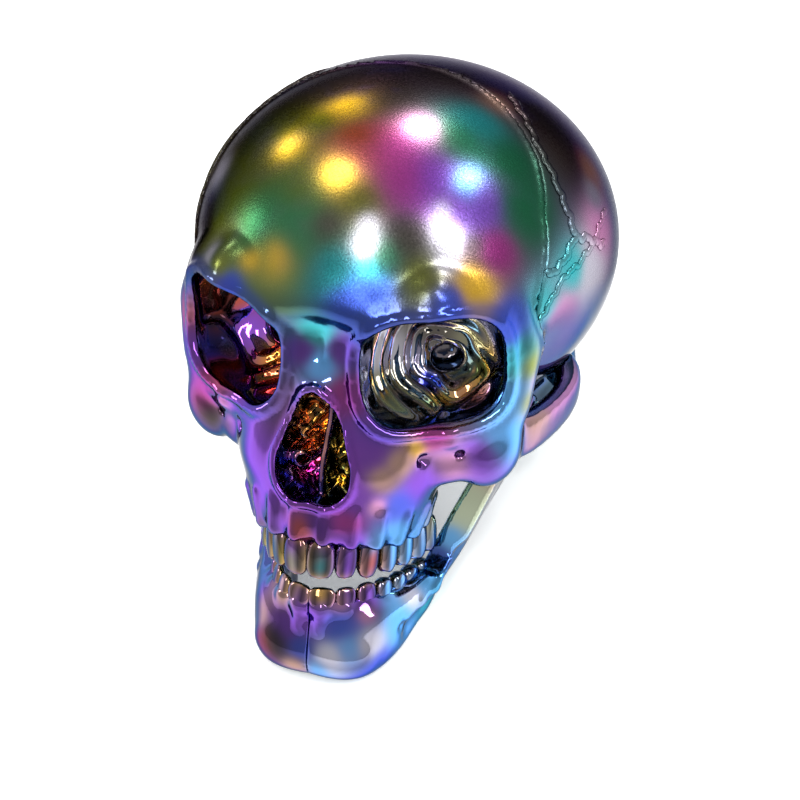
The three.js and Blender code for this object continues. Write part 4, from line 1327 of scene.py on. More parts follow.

# %% [markdown]
# The film was sprayed on by hand, so its colours lie in broad soft clouds. Noise alone would put
# them anywhere, so each cloud is set here: a colour, a place, a reach and a shade. Not all of them
# are film: the night clouds are painted reflections of the dark room, and the pale ones are mostly
# painted highlights, where lamps and the bright room are mirrored. The vault has the widest ones,
# with painted dark reflections of the room between them.

# %% Clouds on forehead and crown
CLOUD_SHARES = [
    # colour, place and reach in shares of the braincase, shade
    ("gold", (-0.11, -0.58, 0.81), 0.06, 0.9), ("gold", (-0.32, -0.74, 0.59), 0.06, 0.9),
    ("gold", (-0.02, -0.85, 0.52), 0.07, 1.0), ("olive", (-0.47, -0.77, 0.43), 0.16, 0.8),
    ("rust", (0.00, -0.72, 0.69), 0.05, 0.8), ("olive", (-0.21, -0.66, 0.72), 0.05, 1.0),
    ("olive", (0.10, -0.89, 0.42), 0.06, 1.0), ("night", (-0.02, -0.95, 0.30), 0.06, 2.0),
    ("olive", (-0.17, -0.89, 0.43), 0.08, 1.0), ("olive", (-0.46, -0.62, 0.64), 0.16, 0.6),
    ("green", (-0.16, -0.93, 0.32), 0.10, 1.1), ("green", (-0.35, -0.89, 0.28), 0.12, 0.9),
    ("rust", (0.07, -0.76, 0.65), 0.09, 0.9), ("magenta", (0.16, -0.74, 0.65), 0.08, 1.0),
    ("magenta", (0.26, -0.79, 0.55), 0.08, 0.75), ("night", (-0.02, -0.47, 0.88), 0.12, 1.6),
    ("pink", (0.25, -0.62, 0.74), 0.06, 1.0), ("green", (0.40, -0.56, 0.72), 0.09, 1.0),
    ("teal", (0.44, -0.45, 0.78), 0.08, 0.7), ("sky", (0.50, -0.69, 0.52), 0.05, 1.1),
    ("violet", (0.37, -0.75, 0.55), 0.08, 1.0), ("pale", (0.48, -0.83, 0.29), 0.045, 0.8),
    ("pale", (0.16, -0.93, 0.34), 0.03, 0.6), ("pale", (0.18, -0.96, 0.23), 0.04, 0.9),
    ("teal", (0.20, -0.97, 0.12), 0.035, 1.3), ("night", (0.33, -0.90, 0.27), 0.06, 1.6),
    ("pale", (0.45, -0.79, 0.41), 0.03, 0.7), ("pale", (0.49, -0.85, 0.17), 0.035, 0.7),
    ("green", (0.24, -0.94, 0.18), 0.05, 1.0), ("violet", (0.48, -0.76, 0.42), 0.05, 1.0),
    ("night", (0.60, -0.78, 0.24), 0.04, 1.6),
    ("green", (-0.17, -0.96, 0.20), 0.08, 1.0), ("magenta", (0.67, -0.71, 0.22), 0.05, 0.6),
    ("violet", (0.57, -0.69, 0.45), 0.07, 1.0), ("green", (0.72, -0.56, 0.41), 0.08, 0.7),
    ("green", (0.62, -0.49, 0.62), 0.09, 0.6), ("blue", (0.21, -0.98, 0.03), 0.06, 0.5),
    ("teal", (0.05, -0.99, 0.09), 0.06, 0.7), ("gold", (-0.22, -0.97, 0.12), 0.05, 0.9),
    ("gold", (0.60, -0.80, 0.05), 0.05, 0.8), ("olive", (0.42, -0.90, 0.10), 0.06, 1.0),
    ("night", (0.20, -0.21, 0.96), 0.16, 2.0), ("night", (0.63, -0.14, 0.77), 0.14, 1.6),
    ("night", (0.75, -0.19, 0.64), 0.10, 2.0), ("tan", (0.46, -0.25, 0.86), 0.06, 0.6),
    ("tan", (0.86, -0.03, 0.52), 0.06, 0.5), ("pale", (0.91, -0.10, 0.40), 0.05, 0.35),
    ("pink", (0.96, -0.14, 0.23), 0.07, 0.9),
    ("teal", (0.93, -0.37, 0.07), 0.06, 1.4), ("pink", (0.89, -0.40, -0.16), 0.07, 0.9),
    ("teal", (0.85, -0.50, -0.10), 0.06, 1.2), ("pale", (0.97, -0.22, 0.05), 0.08, 0.9),
    ("night", (-0.74, -0.65, 0.15), 0.08, 1.6), ("pale", (-0.70, -0.60, 0.38), 0.05, 0.6),
    ("olive", (-0.54, -0.84, 0.10), 0.08, 1.3), ("night", (-0.28, -0.41, 0.86), 0.14, 1.8),
    ("night", (-0.60, -0.20, 0.75), 0.25, 1.6), ("blue", (-0.43, -0.99, -0.06), 0.03, 0.9),
    ("olive", (-0.50, -0.97, 0.02), 0.04, 1.5), ("gold", (-0.35, -0.97, 0.08), 0.03, 0.9),
    ("pale", (-0.60, -0.86, 0.06), 0.04, 0.8),
    ("violet", (0.10, 0.50, 0.80), 0.40, 0.5), ("teal", (0.50, 0.80, 0.20), 0.35, 0.6),
    ("magenta", (-0.50, 0.80, 0.20), 0.35, 0.5), ("olive", (-0.80, 0.20, 0.20), 0.30, 0.8),
]
print("clouds so far:", len(CLOUD_SHARES))

# %% [markdown]
# The face is violet and blue for the most part. It turns to sky and teal on the outer rim of the
# left socket, and has warmer spots on the cheek below it.

# %% Clouds on brow, nose and cheeks
CLOUD_SHARES += [
    ("blue", (0.13, -1.02, -0.04), 0.05, 0.6), ("blue", (0.56, -0.92, 0.0), 0.04, 0.8),
    ("teal", (-0.01, -0.95, -0.24), 0.035, 1.3), ("sky", (0.01, -0.94, -0.42), 0.03, 1.1),
    ("violet", (-0.08, -0.95, -0.36), 0.03, 0.8), ("violet", (0.10, -0.95, -0.32), 0.035, 0.9),
    ("magenta", (0.15, -0.94, -0.56), 0.04, 0.7), ("violet", (0.25, -0.92, -0.83), 0.07, 1.0),
    ("tan", (0.31, -0.90, -0.98), 0.035, 1.3), ("tan", (0.37, -0.87, -0.90), 0.035, 1.4),
    ("gold", (0.42, -0.81, -0.82), 0.025, 0.9), ("magenta", (0.48, -0.80, -0.76), 0.04, 0.9),
    ("pink", (0.56, -0.68, -0.90), 0.04, 0.8), ("violet", (0.67, -0.68, -0.87), 0.05, 1.2),
    ("sky", (0.77, -0.65, -0.76), 0.05, 1.0), ("sky", (0.79, -0.66, -0.55), 0.05, 1.0),
    ("teal", (0.80, -0.68, -0.33), 0.05, 1.4), ("blue", (0.78, -0.73, -0.14), 0.05, 1.0),
    ("olive", (0.85, -0.60, -0.57), 0.035, 3.0), ("olive", (0.85, -0.63, -0.36), 0.035, 3.0),
    ("pink", (0.87, -0.50, -0.50), 0.06, 1.0), ("pink", (0.86, -0.20, -0.74), 0.10, 0.7),
    ("tan", (0.85, -0.40, -0.72), 0.05, 0.9), ("violet", (-0.30, -0.90, -1.07), 0.08, 1.2),
    ("violet", (-0.44, -0.78, -0.87), 0.07, 1.1), ("pink", (-0.55, -0.75, -0.85), 0.04, 0.8),
    ("magenta", (-0.64, -0.72, -0.77), 0.05, 0.8), ("night", (-0.60, -0.68, -0.95), 0.05, 2.0),
    ("violet", (-0.72, -0.67, -0.58), 0.05, 1.0), ("violet", (0.18, -0.93, -1.10), 0.06, 1.1),
    ("rust", (-0.04, -0.97, -1.32), 0.035, 1.2), ("violet", (0.06, -0.96, -1.27), 0.04, 0.6),
    ("magenta", (0.17, -0.93, -1.24), 0.04, 0.9), ("pink", (0.29, -0.88, -1.15), 0.022, 1.3),
    ("blue", (0.38, -0.82, -1.15), 0.05, 1.1), ("violet", (0.44, -0.78, -1.05), 0.05, 1.2),
    ("sky", (0.33, -0.79, -1.37), 0.06, 0.8), ("violet", (0.19, -0.92, -1.36), 0.05, 1.1),
    ("violet", (-0.12, -0.95, -1.36), 0.05, 1.0),
]
print("clouds so far:", len(CLOUD_SHARES))

# %% [markdown]
# The upper teeth run from olive over violet and rust to sky. The jaw goes from violet at the chin
# to sky along its side and to sage and tan up its branch.

# %% Clouds on teeth and jaw
CLOUD_SHARES += [
    ("olive", (-0.32, -0.74, -1.54), 0.05, 2.0), ("olive", (-0.15, -0.91, -1.48), 0.05, 1.5),
    ("night", (0.02, -0.95, -1.47), 0.04, 4.0), ("teal", (0.07, -0.95, -1.50), 0.03, 0.5),
    ("violet", (0.17, -0.90, -1.49), 0.04, 0.8), ("rust", (0.27, -0.80, -1.48), 0.04, 0.9),
    ("sky", (0.34, -0.67, -1.48), 0.05, 0.8), ("tan", (-0.13, -0.85, -1.73), 0.05, 0.8),
    ("gold", (0.05, -0.88, -1.70), 0.03, 0.6), ("pink", (0.14, -0.86, -1.74), 0.03, 0.8),
    ("violet", (0.22, -0.78, -1.72), 0.05, 1.0), ("sky", (0.28, -0.62, -1.68), 0.05, 0.8),
    ("violet", (0.01, -0.89, -1.82), 0.06, 1.2), ("blue", (0.14, -0.86, -1.86), 0.06, 1.0),
    ("pink", (0.25, -0.80, -1.80), 0.025, 1.0), ("violet", (-0.11, -0.87, -1.91), 0.05, 0.9),
    ("night", (-0.18, -0.88, -2.02), 0.06, 1.0),
    ("rust", (-0.24, -0.84, -2.06), 0.04, 0.6), ("tan", (-0.27, -0.81, -1.92), 0.03, 0.8),
    ("violet", (-0.39, -0.64, -1.84), 0.07, 1.1), ("blue", (-0.03, -0.88, -2.02), 0.04, 0.8),
    ("pale", (0.12, -0.89, -2.03), 0.04, 1.2), ("sky", (0.20, -0.87, -1.98), 0.04, 1.0),
    ("pale", (0.28, -0.80, -1.96), 0.04, 1.1), ("sky", (0.37, -0.66, -1.88), 0.06, 1.1),
    ("pale", (0.38, -0.60, -1.78), 0.035, 1.1), ("sky", (0.40, -0.48, -1.70), 0.05, 1.0),
    ("teal", (0.42, -0.42, -1.85), 0.05, 1.2), ("blue", (0.43, -0.42, -1.62), 0.04, 0.8),
    ("sky", (0.48, -0.38, -1.50), 0.04, 1.4), ("sage", (0.51, -0.38, -1.38), 0.06, 1.8),
    ("sage", (0.53, -0.34, -1.25), 0.05, 1.6), ("tan", (0.55, -0.30, -1.12), 0.05, 1.6),
    ("tan", (-0.06, -0.88, -2.15), 0.03, 1.0), ("sky", (0.06, -0.90, -2.14), 0.03, 0.9),
    ("pink", (-0.26, -0.74, -2.12), 0.05, 0.7), ("blue", (0.30, -0.76, -2.10), 0.05, 1.0),
    ("violet", (-0.40, -0.40, -1.50), 0.15, 0.8),
]
print("clouds so far:", len(CLOUD_SHARES))

# %% [markdown]
# The linings have colours of their own: rust and violet in the right socket, pale and moss in the
# left one, and amber, gold and magenta on the floor of the nose. The high shades of the light
# clouds here are painted light, which keeps the deep hollows from going dark.

# %% Clouds inside the sockets and the nose
CLOUD_SHARES += [
    ("rust", (-0.71, -0.58, -0.38), 0.05, 2.0), ("rust", (-0.62, -0.54, -0.28), 0.05, 2.2),
    ("violet", (-0.56, -0.50, -0.49), 0.06, 1.8), ("amber", (-0.42, -0.53, -0.58), 0.05, 1.1),
    ("rust", (-0.43, -0.64, -0.72), 0.05, 2.2), ("rust", (-0.55, -0.68, -0.68), 0.05, 2.0),
    ("magenta", (-0.45, -0.55, -0.40), 0.04, 0.9), ("pale", (0.14, -0.63, -0.44), 0.05, 0.9),
    ("moss", (0.18, -0.63, -0.60), 0.05, 1.0), ("pale", (0.25, -0.53, -0.49), 0.04, 0.6),
    ("night", (0.37, -0.50, -0.28), 0.06, 3.0), ("moss", (0.51, -0.49, -0.34), 0.05, 1.0),
    ("blue", (0.36, -0.53, -0.60), 0.03, 0.8), ("moss", (0.43, -0.48, -0.48), 0.03, 0.6),
    ("gold", (0.63, -0.52, -0.47), 0.04, 0.8), ("amber", (0.60, -0.59, -0.63), 0.04, 1.2),
    ("pale", (0.50, -0.67, -0.70), 0.04, 0.8), ("moss", (0.32, -0.67, -0.70), 0.06, 1.2),
    ("gold", (0.42, -0.58, -0.68), 0.03, 1.0), ("moss", (0.35, -0.60, -0.12), 0.08, 0.8),
    ("amber", (-0.10, -0.70, -0.87), 0.06, 1.4), ("gold", (0.05, -0.63, -0.90), 0.06, 1.2),
    ("magenta", (-0.11, -0.70, -1.12), 0.04, 1.4), ("gold", (0.04, -0.66, -1.14), 0.05, 1.2),
    ("olive", (0.00, -0.60, -0.75), 0.05, 4.0),
]
print("clouds in all:", len(CLOUD_SHARES))

# %% [markdown]
# Each cloud pulls the colour of a point towards its own, less and less with the distance but
# without an edge, and where clouds meet they mix. A weak dark ground fills what lies far from all.

# %% Mixing the clouds
BASE_WEIGHT, BASE_COLOUR = 0.004, (0.06, 0.05, 0.09)


def clouded(points):
    """Mean colour of the clouds, each weighted by (1 + (distance / reach)^2 / 3)^-3."""
    weight = np.full(len(points), BASE_WEIGHT)
    colour = weight[:, None] * np.array(BASE_COLOUR)
    for name, at, size, shade in CLOUD_SHARES:
        off = ((points - place(*at)) ** 2).sum(1) / girth(size) ** 2
        pull = (1 + off / 3) ** -3.0
        weight = weight + pull
        colour = colour + pull[:, None] * np.array(CLOUD_COLOURS[name]) * shade
    return colour / weight[:, None]


print("colour between the brows:", clouded(np.array([place(0, -0.95, -0.24)]))[0].round(2))

# %% [markdown]
# What a point is coated with depends on what it belongs to: the satin vault, a bead round a socket
# or round the nose, or a tooth's crown. Each of these is a share from 0 to 1 that fades softly,
# because sprayed colour has no sharp edge.

# %% Shares of vault, beads and crowns
VAULT_EDGE_SHARE = -0.28
VAULT_FADE = 4
TOOTH_BORDER = {"tint": (0.42, 0.24, 0.08), "share": 0.85, "power": 5}
# Painted reflection stripes on each crown: darkest and lightest shade, and how many round it.
REFLECTION_STRIPE_DARK, REFLECTION_STRIPE_LIGHT, REFLECTION_STRIPES_ROUND = 0.25, 1.35, 6


def vault_share(points):
    """1 on the vault over the brow, 0 on the face and the jaw."""
    over = points[:, 2] / BRAINCASE[2] + EAR_SHARES[2] - VAULT_EDGE_SHARE
    return np.clip(over * VAULT_FADE, 0, 1)


def bead_share(p, width):
    """1 on the beads round the sockets, falling to 0 over a width."""
    return np.exp(-((np.hypot(socket_bowl(p, 0), head(p)) / width) ** 2))


def nose_bead_share(p, width):
    """1 on the bead round the nose opening, falling to 0 over a width."""
    middle = place(*NOSE_SHARES)
    edge = polygon(p[0] - middle[0], p[2] - middle[2], pear_outline())
    return np.exp(-((np.hypot(edge, head(p)) / width) ** 2))


def crown_shades():
    """How gold each point of a crown is, 1 on its sides and ends and 0 in the middle of its faces,
    and how light: painted reflection stripes, dark and light by a cosine of the turn."""
    v, turn = crown_grid()
    border = np.maximum(abs(np.sin(turn)), abs(v)) ** TOOTH_BORDER["power"]
    turn = turn + np.zeros((CROWN_ROWS, 1))
    # Painted reflection: upright dark and light stripes round the crown.
    reflection_stripe = REFLECTION_STRIPE_DARK + (REFLECTION_STRIPE_LIGHT - REFLECTION_STRIPE_DARK) * (0.5 + 0.5 * np.cos(REFLECTION_STRIPES_ROUND * turn))
    ends = [1, 1]
    return np.concatenate([border.ravel(), ends]), np.concatenate([reflection_stripe.ravel(), ends])


print("share of the vault, top and chin:", vault_share(np.array([place(0, 0, 1), place(0, -0.8, -2)])))

# %% [markdown]
# On the face and the jaw the film also changes with the slope: it is thickest where the surface
# looked at the spray, and thinner on ridges and rims, which get a fringe from another part of the
# ring. Darker and lighter bands by the same slope are painted reflections of the room, as chrome
# would mirror it. The beads round sockets and nose are blue and violet, the linings of the sockets
# are lightened with painted light, and each crown has a gold border and upright painted
# reflection stripes.

# %% Tint of each point
# The axis the spray came from; the painted reflection bands are measured from it as well.
SPRAY_AND_REFLECTION_AXIS = np.array([0.29, -0.91, 0.295])
# Painted reflection: the tint is darkened and lightened in bands by how squarely a point faces that
# axis.
REFLECTION_BAND_FACINGS = [0, 0.12, 0.26, 0.4, 0.56, 0.7, 0.85, 1]
REFLECTION_BAND_SHADES = [1.0, 0.75, 0.3, 0.5, 1.3, 0.9, 0.4, 0.5]
# On the satin vault an even shade takes the place of the painted reflection bands.
VAULT_SHADE = 0.75
# Painted light: the linings of the sockets are lightened by this share.
LINING_PAINTED_LIGHT = 0.5
LINING_REACH = {"bowl": 1.5, "fade": 4, "start_share": 0.6}
FRINGE_START, FRINGE_WIDTH, FRINGE_MOST = 0.25, 0.4, 0.45
FILM_FACING, FILM_FALL = 0.82, 0.4
TINT_MOST = 0.95
SOCKET_BEAD = {"width": 2.2, "tint": (0.02, 0.05, 0.36), "share": 0.85}
NOSE_BEAD = {"width": 1.8, "tint": (0.20, 0.05, 0.42), "share": 0.75}


def mixed(colours, other, share):
    """Colours moved towards another by a share of the way."""
    return colours + (np.asarray(other) - colours) * share[:, None]


def film_at(points, normals):
    """Tint with painted reflection bands and painted light, fringe film and fringe share of points,
    from the clouds and the way they face.
    """
    facing = np.clip(normals @ SPRAY_AND_REFLECTION_AXIS, 0, 1)
    vault = vault_share(points)
    # Painted reflection bands, by how squarely each point faces the axis.
    reflection_bands = np.interp(facing, REFLECTION_BAND_FACINGS, REFLECTION_BAND_SHADES)
    tint = clouded(points)
    p = points.T
    deep = -head(p) / LINING_REACH["fade"] - LINING_REACH["start_share"]
    lining = np.clip(deep, 0, 1) * (socket_bowl(p, LINING_REACH["bowl"]) < 0)
    # Painted light lightens the linings of the sockets.
    tint = tint * (1 + LINING_PAINTED_LIGHT * lining)[:, None]
    for bead, share_of in ((SOCKET_BEAD, bead_share), (NOSE_BEAD, nose_bead_share)):
        tint = mixed(tint, bead["tint"], bead["share"] * share_of(p, bead["width"]))
    # The painted reflection bands darken and lighten the tint, with an even shade on the vault.
    tint = tint * (reflection_bands + (VAULT_SHADE - reflection_bands) * vault)[:, None]
    fringe = np.clip((1 - facing - FRINGE_START) / FRINGE_WIDTH, 0, 1) * FRINGE_MOST
    film = FILM_FACING - FILM_FALL * (1 - facing)
    return np.clip(tint, 0, TINT_MOST), film, fringe * (1 - vault)


print("tint in front of the nose:", film_at(np.array([place(0, -1, -0.8)]), SPRAY_AND_REFLECTION_AXIS[None, :])[0].round(2))

# %% [markdown]
# The colours are stored on the vertices as named attributes, which the materials read. So a
# colour stays on its place when the jaw turns.

# %% Coat the pieces
BRIGHT_WIDTH = 3.0


def put(mesh, name, values):
    """Stores one number for each vertex under a name."""
    values = values.astype(np.float32)
    mesh.attributes.new(name, "FLOAT", "POINT").data.foreach_set("value", values)


def coat_with_film(piece):
    """Writes tint, film, fringe and satin on each vertex; satin is the duller grain of the vault."""
    mesh = piece.data
    spots = np.empty(len(mesh.vertices) * 3, np.float32)
    normals = np.empty_like(spots)
    mesh.vertices.foreach_get("co", spots)
    mesh.vertices.foreach_get("normal", normals)
    points = level(spots.reshape(-1, 3).astype(float))
    normals = normals.reshape(-1, 3) @ TILT
    tint, film, fringe = film_at(points, normals)
    if "teeth" in piece.name:
        # Painted reflection stripes darken and lighten each crown; then it gets its gold border.
        border, reflection_stripe = (np.resize(shades, len(points)) for shades in crown_shades())
        tint = np.clip(tint * reflection_stripe[:, None], 0, TINT_MOST)
        tint = mixed(tint, TOOTH_BORDER["tint"], TOOTH_BORDER["share"] * border)
    rgba = np.column_stack([tint, np.ones(len(tint))]).astype(np.float32)
    mesh.attributes.new("tint", "FLOAT_COLOR", "POINT").data.foreach_set("color", rgba.ravel())
    put(mesh, "film", film)
    put(mesh, "fringe", fringe)
    put(mesh, "satin", vault_share(points) * (1 - bead_share(points.T, BRIGHT_WIDTH)))
    return tint


jaw_pieces = [jaw_left, jaw_right, lower_left, lower_right]
head_pieces = [front, rear, upper_teeth, coronal, temporal]
for piece in head_pieces + jaw_pieces:
    tint = coat_with_film(piece)
    print(piece.name, "mean tint", tint.mean(0).round(2))

# %% [markdown]
# The film's colours sit on a ring, so a colour ramp whose last stop repeats its first can be
# entered anywhere. A node group shares this look among the four moulded parts. Its sockets come
# first: what each material tells it, and what it gives back.

# %% Sockets of the film's group
def new_socket(group, name, kind, in_out, default=None):
    """A named input or output of a group, with a value where one is given."""
    item = group.interface.new_socket(name=name, in_out=in_out, socket_type=kind)
    if default is not None:
        item.default_value = default
    return item


rainbow = bpy.data.node_groups.new("rainbow film", "ShaderNodeTree")
new_socket(rainbow, "Tint", "NodeSocketColor", "INPUT")
for name, default in (("Film", 0.5), ("Fringe", 0.0), ("Satin", 0.0), ("Drift", 0.06),
                      ("Cloud Scale", 45.0), ("Grain Scale", 1500.0)):
    new_socket(rainbow, name, "NodeSocketFloat", "INPUT", default)
new_socket(rainbow, "Colour", "NodeSocketColor", "OUTPUT")
for name in ("Roughness", "Height", "Coat"):
    new_socket(rainbow, name, "NodeSocketFloat", "OUTPUT")
print("group inputs:", [item.name for item in rainbow.interface.items_tree if item.in_out == "INPUT"])

# %% [markdown]
# Inside, the group moves the film a little with cloudy noise, looks its colour up for the fringe,
# and adds the fine grain of the lacquer. Two small helpers add a noise node and a Math node, so
# that each step reads as one line.

# %% Nodes of the film's group
CLOUD_DETAIL, GRAIN_DETAIL = 3.0, 2.0
CLOUD_MEAN = 0.5
FRINGE_DRIFT = 0.25
ROUGH = {"least": 0.07, "satin": 0.24, "grain_start": 0.35}
GRAIN_ON_BRIGHT = 0.05
COAT_SHARE = 0.2


def noise(nodes, links, where, scale, detail):
    """A noise node on given coordinates, at a scale that another node gives."""
    node = nodes.new("ShaderNodeTexNoise")
    node.inputs["Detail"].default_value = detail
    links.new(where, node.inputs["Vector"])
    links.new(scale, node.inputs["Scale"])
    return node.outputs["Fac"]


def math_node(nodes, links, kind, *values):
    """One Math node with numbers or other nodes' outputs as its values."""
    node = nodes.new("ShaderNodeMath")
    node.operation = kind
    for socket, value in zip(node.inputs, values):
        if isinstance(value, (int, float)):
            socket.default_value = value
        else:
            links.new(value, socket)
    return node.outputs[0]


def fill_rainbow(nodes, links):
    """Colour, roughness, grain height and coat share of the film, from the group's inputs."""
    ask, give = nodes.new("NodeGroupInput"), nodes.new("NodeGroupOutput")
    where = nodes.new("ShaderNodeTexCoord").outputs["Object"]
    maths = lambda kind, *values: math_node(nodes, links, kind, *values)
    cloud = noise(nodes, links, where, ask.outputs["Cloud Scale"], CLOUD_DETAIL)
    cloud = maths("SUBTRACT", cloud, CLOUD_MEAN)
    drifted = maths("MULTIPLY_ADD", cloud, ask.outputs["Drift"], ask.outputs["Film"])
    film = maths("FRACT", maths("ADD", drifted, 1.0))
    ramp = nodes.new("ShaderNodeValToRGB")
    links.new(film, ramp.inputs["Fac"])
    stops = ramp.color_ramp.elements
    first = RAINBOW["pale"][1]
    stops[0].position, stops[0].color = 0.0, (*first, 1)
    stops[1].position, stops[1].color = 1.0, (*first, 1)
    for place_on_ring, colour in list(RAINBOW.values())[1:]:
        stops.new(place_on_ring).color = (*colour, 1)
    both = nodes.new("ShaderNodeMix")
    both.data_type = "RGBA"
    fringe = maths("ADD", ask.outputs["Fringe"], maths("MULTIPLY", cloud, FRINGE_DRIFT))
    links.new(fringe, both.inputs["Factor"])
    links.new(ask.outputs["Tint"], both.inputs["A"])
    links.new(ramp.outputs["Color"], both.inputs["B"])
    links.new(both.outputs["Result"], give.inputs["Colour"])
    grain = noise(nodes, links, where, ask.outputs["Grain Scale"], GRAIN_DETAIL)
    satin = ask.outputs["Satin"]
    grained = maths("ADD", grain, ROUGH["grain_start"])
    rough = maths("MULTIPLY_ADD", grained, maths("MULTIPLY", satin, ROUGH["satin"]), ROUGH["least"])
    links.new(rough, give.inputs["Roughness"])
    height = maths("MULTIPLY", grain, maths("ADD", satin, GRAIN_ON_BRIGHT))
    links.new(height, give.inputs["Height"])
    links.new(maths("MULTIPLY_ADD", satin, -COAT_SHARE, COAT_SHARE), give.inputs["Coat"])


fill_rainbow(rainbow.nodes, rainbow.links)
print("nodes in the group:", len(rainbow.nodes))

# %% [markdown]
# Each moulded part gets its own material from the shared group, because each was sprayed by
# itself: full metal, the group's colour and roughness, its grain as a slight bump, and a thin
# clear coat where the metal is bright, which is everywhere but on the satin vault.

# %% Rainbow metal
EDGE_TINT = (0.3, 0.29, 0.32, 1)
BUMP = {"strength": 0.2, "distance": 0.0002}
COAT_ROUGHNESS = 0.04


def bare_material(name):
    """A new material with its nodes, its links and its Principled BSDF."""
    material = bpy.data.materials.new(name)
    material.use_nodes = True
    tree = material.node_tree
    return material, tree.nodes, tree.links, tree.nodes["Principled BSDF"]


def rainbow_material(name, drift, cloud_scale):
    """Bright metal whose base colour is the film's, under a thin clear coat."""
    material, nodes, links, skin = bare_material(name)
    film = nodes.new("ShaderNodeGroup")
    film.node_tree = rainbow
    for socket in ("Tint", "Film", "Fringe", "Satin"):
        read = nodes.new("ShaderNodeAttribute")
        read.attribute_type = "GEOMETRY"
        read.attribute_name = socket.lower()
        links.new(read.outputs["Color" if socket == "Tint" else "Fac"], film.inputs[socket])
    film.inputs["Drift"].default_value = drift
    film.inputs["Cloud Scale"].default_value = cloud_scale
    links.new(film.outputs["Colour"], skin.inputs["Base Color"])
    links.new(film.outputs["Roughness"], skin.inputs["Roughness"])
    bump = nodes.new("ShaderNodeBump")
    bump.inputs["Strength"].default_value = BUMP["strength"]
    bump.inputs["Distance"].default_value = BUMP["distance"]
    links.new(film.outputs["Height"], bump.inputs["Height"])
    links.new(bump.outputs["Normal"], skin.inputs["Normal"])
    skin.inputs["Metallic"].default_value = 1.0
    skin.inputs["Specular Tint"].default_value = EDGE_TINT
    links.new(film.outputs["Coat"], skin.inputs["Coat Weight"])
    skin.inputs["Coat Roughness"].default_value = COAT_ROUGHNESS
    return material


front_metal = rainbow_material("front rainbow metal", 0.10, 45)
rear_metal = rainbow_material("rear rainbow metal", 0.12, 35)
jaw_left_metal = rainbow_material("left jaw rainbow metal", 0.14, 60)
jaw_right_metal = rainbow_material("right jaw rainbow metal", 0.14, 60)
for piece, material in [(front, front_metal), (upper_teeth, front_metal), (rear, rear_metal),
                        (coronal, rear_metal), (temporal, rear_metal), (jaw_left, jaw_left_metal),
                        (lower_left, jaw_left_metal), (jaw_right, jaw_right_metal),
                        (lower_right, jaw_right_metal)]:
    piece.data.materials.append(material)
print("rainbow materials:", [material.name for material in bpy.data.materials])

# %% [markdown]
# Screws, washers and nuts are zinc-plated steel. A lathe leaves fine rings round the axis, which
# runs across the skull, so the noise is squeezed along x and left wide round it.

# %% Turned steel
STEEL = {"marks": (9000, 900, 900), "dark": (0.55, 0.57, 0.6, 1), "light": (0.8, 0.81, 0.83, 1),
         "smooth": 0.22, "dull": 0.42}


def steel_material():
    """Zinc-plated steel: fine turning marks as noise drawn out round the pivot's axis."""
    material, nodes, links, skin = bare_material("turned steel")
    where, spread, marks = (nodes.new(kind) for kind in
                            ("ShaderNodeTexCoord", "ShaderNodeMapping", "ShaderNodeTexNoise"))
    spread.inputs["Scale"].default_value = STEEL["marks"]
    marks.inputs["Scale"].default_value = 1.0
    links.new(where.outputs["Object"], spread.inputs["Vector"])
    links.new(spread.outputs["Vector"], marks.inputs["Vector"])
    tint, dull = nodes.new("ShaderNodeValToRGB"), nodes.new("ShaderNodeMapRange")
    tint.color_ramp.elements[0].color = STEEL["dark"]
    tint.color_ramp.elements[1].color = STEEL["light"]
    dull.inputs["To Min"].default_value = STEEL["smooth"]
    dull.inputs["To Max"].default_value = STEEL["dull"]
    links.new(marks.outputs["Fac"], tint.inputs["Fac"])
    links.new(marks.outputs["Fac"], dull.inputs["Value"])
    links.new(tint.outputs["Color"], skin.inputs["Base Color"])
    links.new(dull.outputs["Result"], skin.inputs["Roughness"])
    skin.inputs["Metallic"].default_value = 1.0
    return material


steel = steel_material()
for piece in fixings:
    piece.data.materials.append(steel)
print("fixings in", steel.name)

# %% [markdown]
# The photograph has a plain white ground. The floor is a pale plane that keeps the skull's soft
# shadow; where the camera or a mirror sees it, a little light of its own lifts it to white.

# %% Floor and world
FLOOR_SIZE = 6.0
PAPER = {"colour": (0.9, 0.9, 0.9, 1), "roughness": 0.9, "sheen": 0.1, "own_light": 0.3}
WHITE = (1, 1, 1, 1)
SKY = {"on_object": 0.7, "seen": 1.0}


def light_path_sum(nodes, links):
    """1 for camera, glossy and transmission rays, 0 for the rest."""
    path, first, both = (nodes.new(kind) for kind in
                         ("ShaderNodeLightPath", "ShaderNodeMath", "ShaderNodeMath"))
    first.operation = both.operation = "ADD"
    first.use_clamp = both.use_clamp = True
    links.new(path.outputs["Is Camera Ray"], first.inputs[0])
    links.new(path.outputs["Is Glossy Ray"], first.inputs[1])
    links.new(first.outputs[0], both.inputs[0])
    links.new(path.outputs["Is Transmission Ray"], both.inputs[1])
    return both.outputs[0]


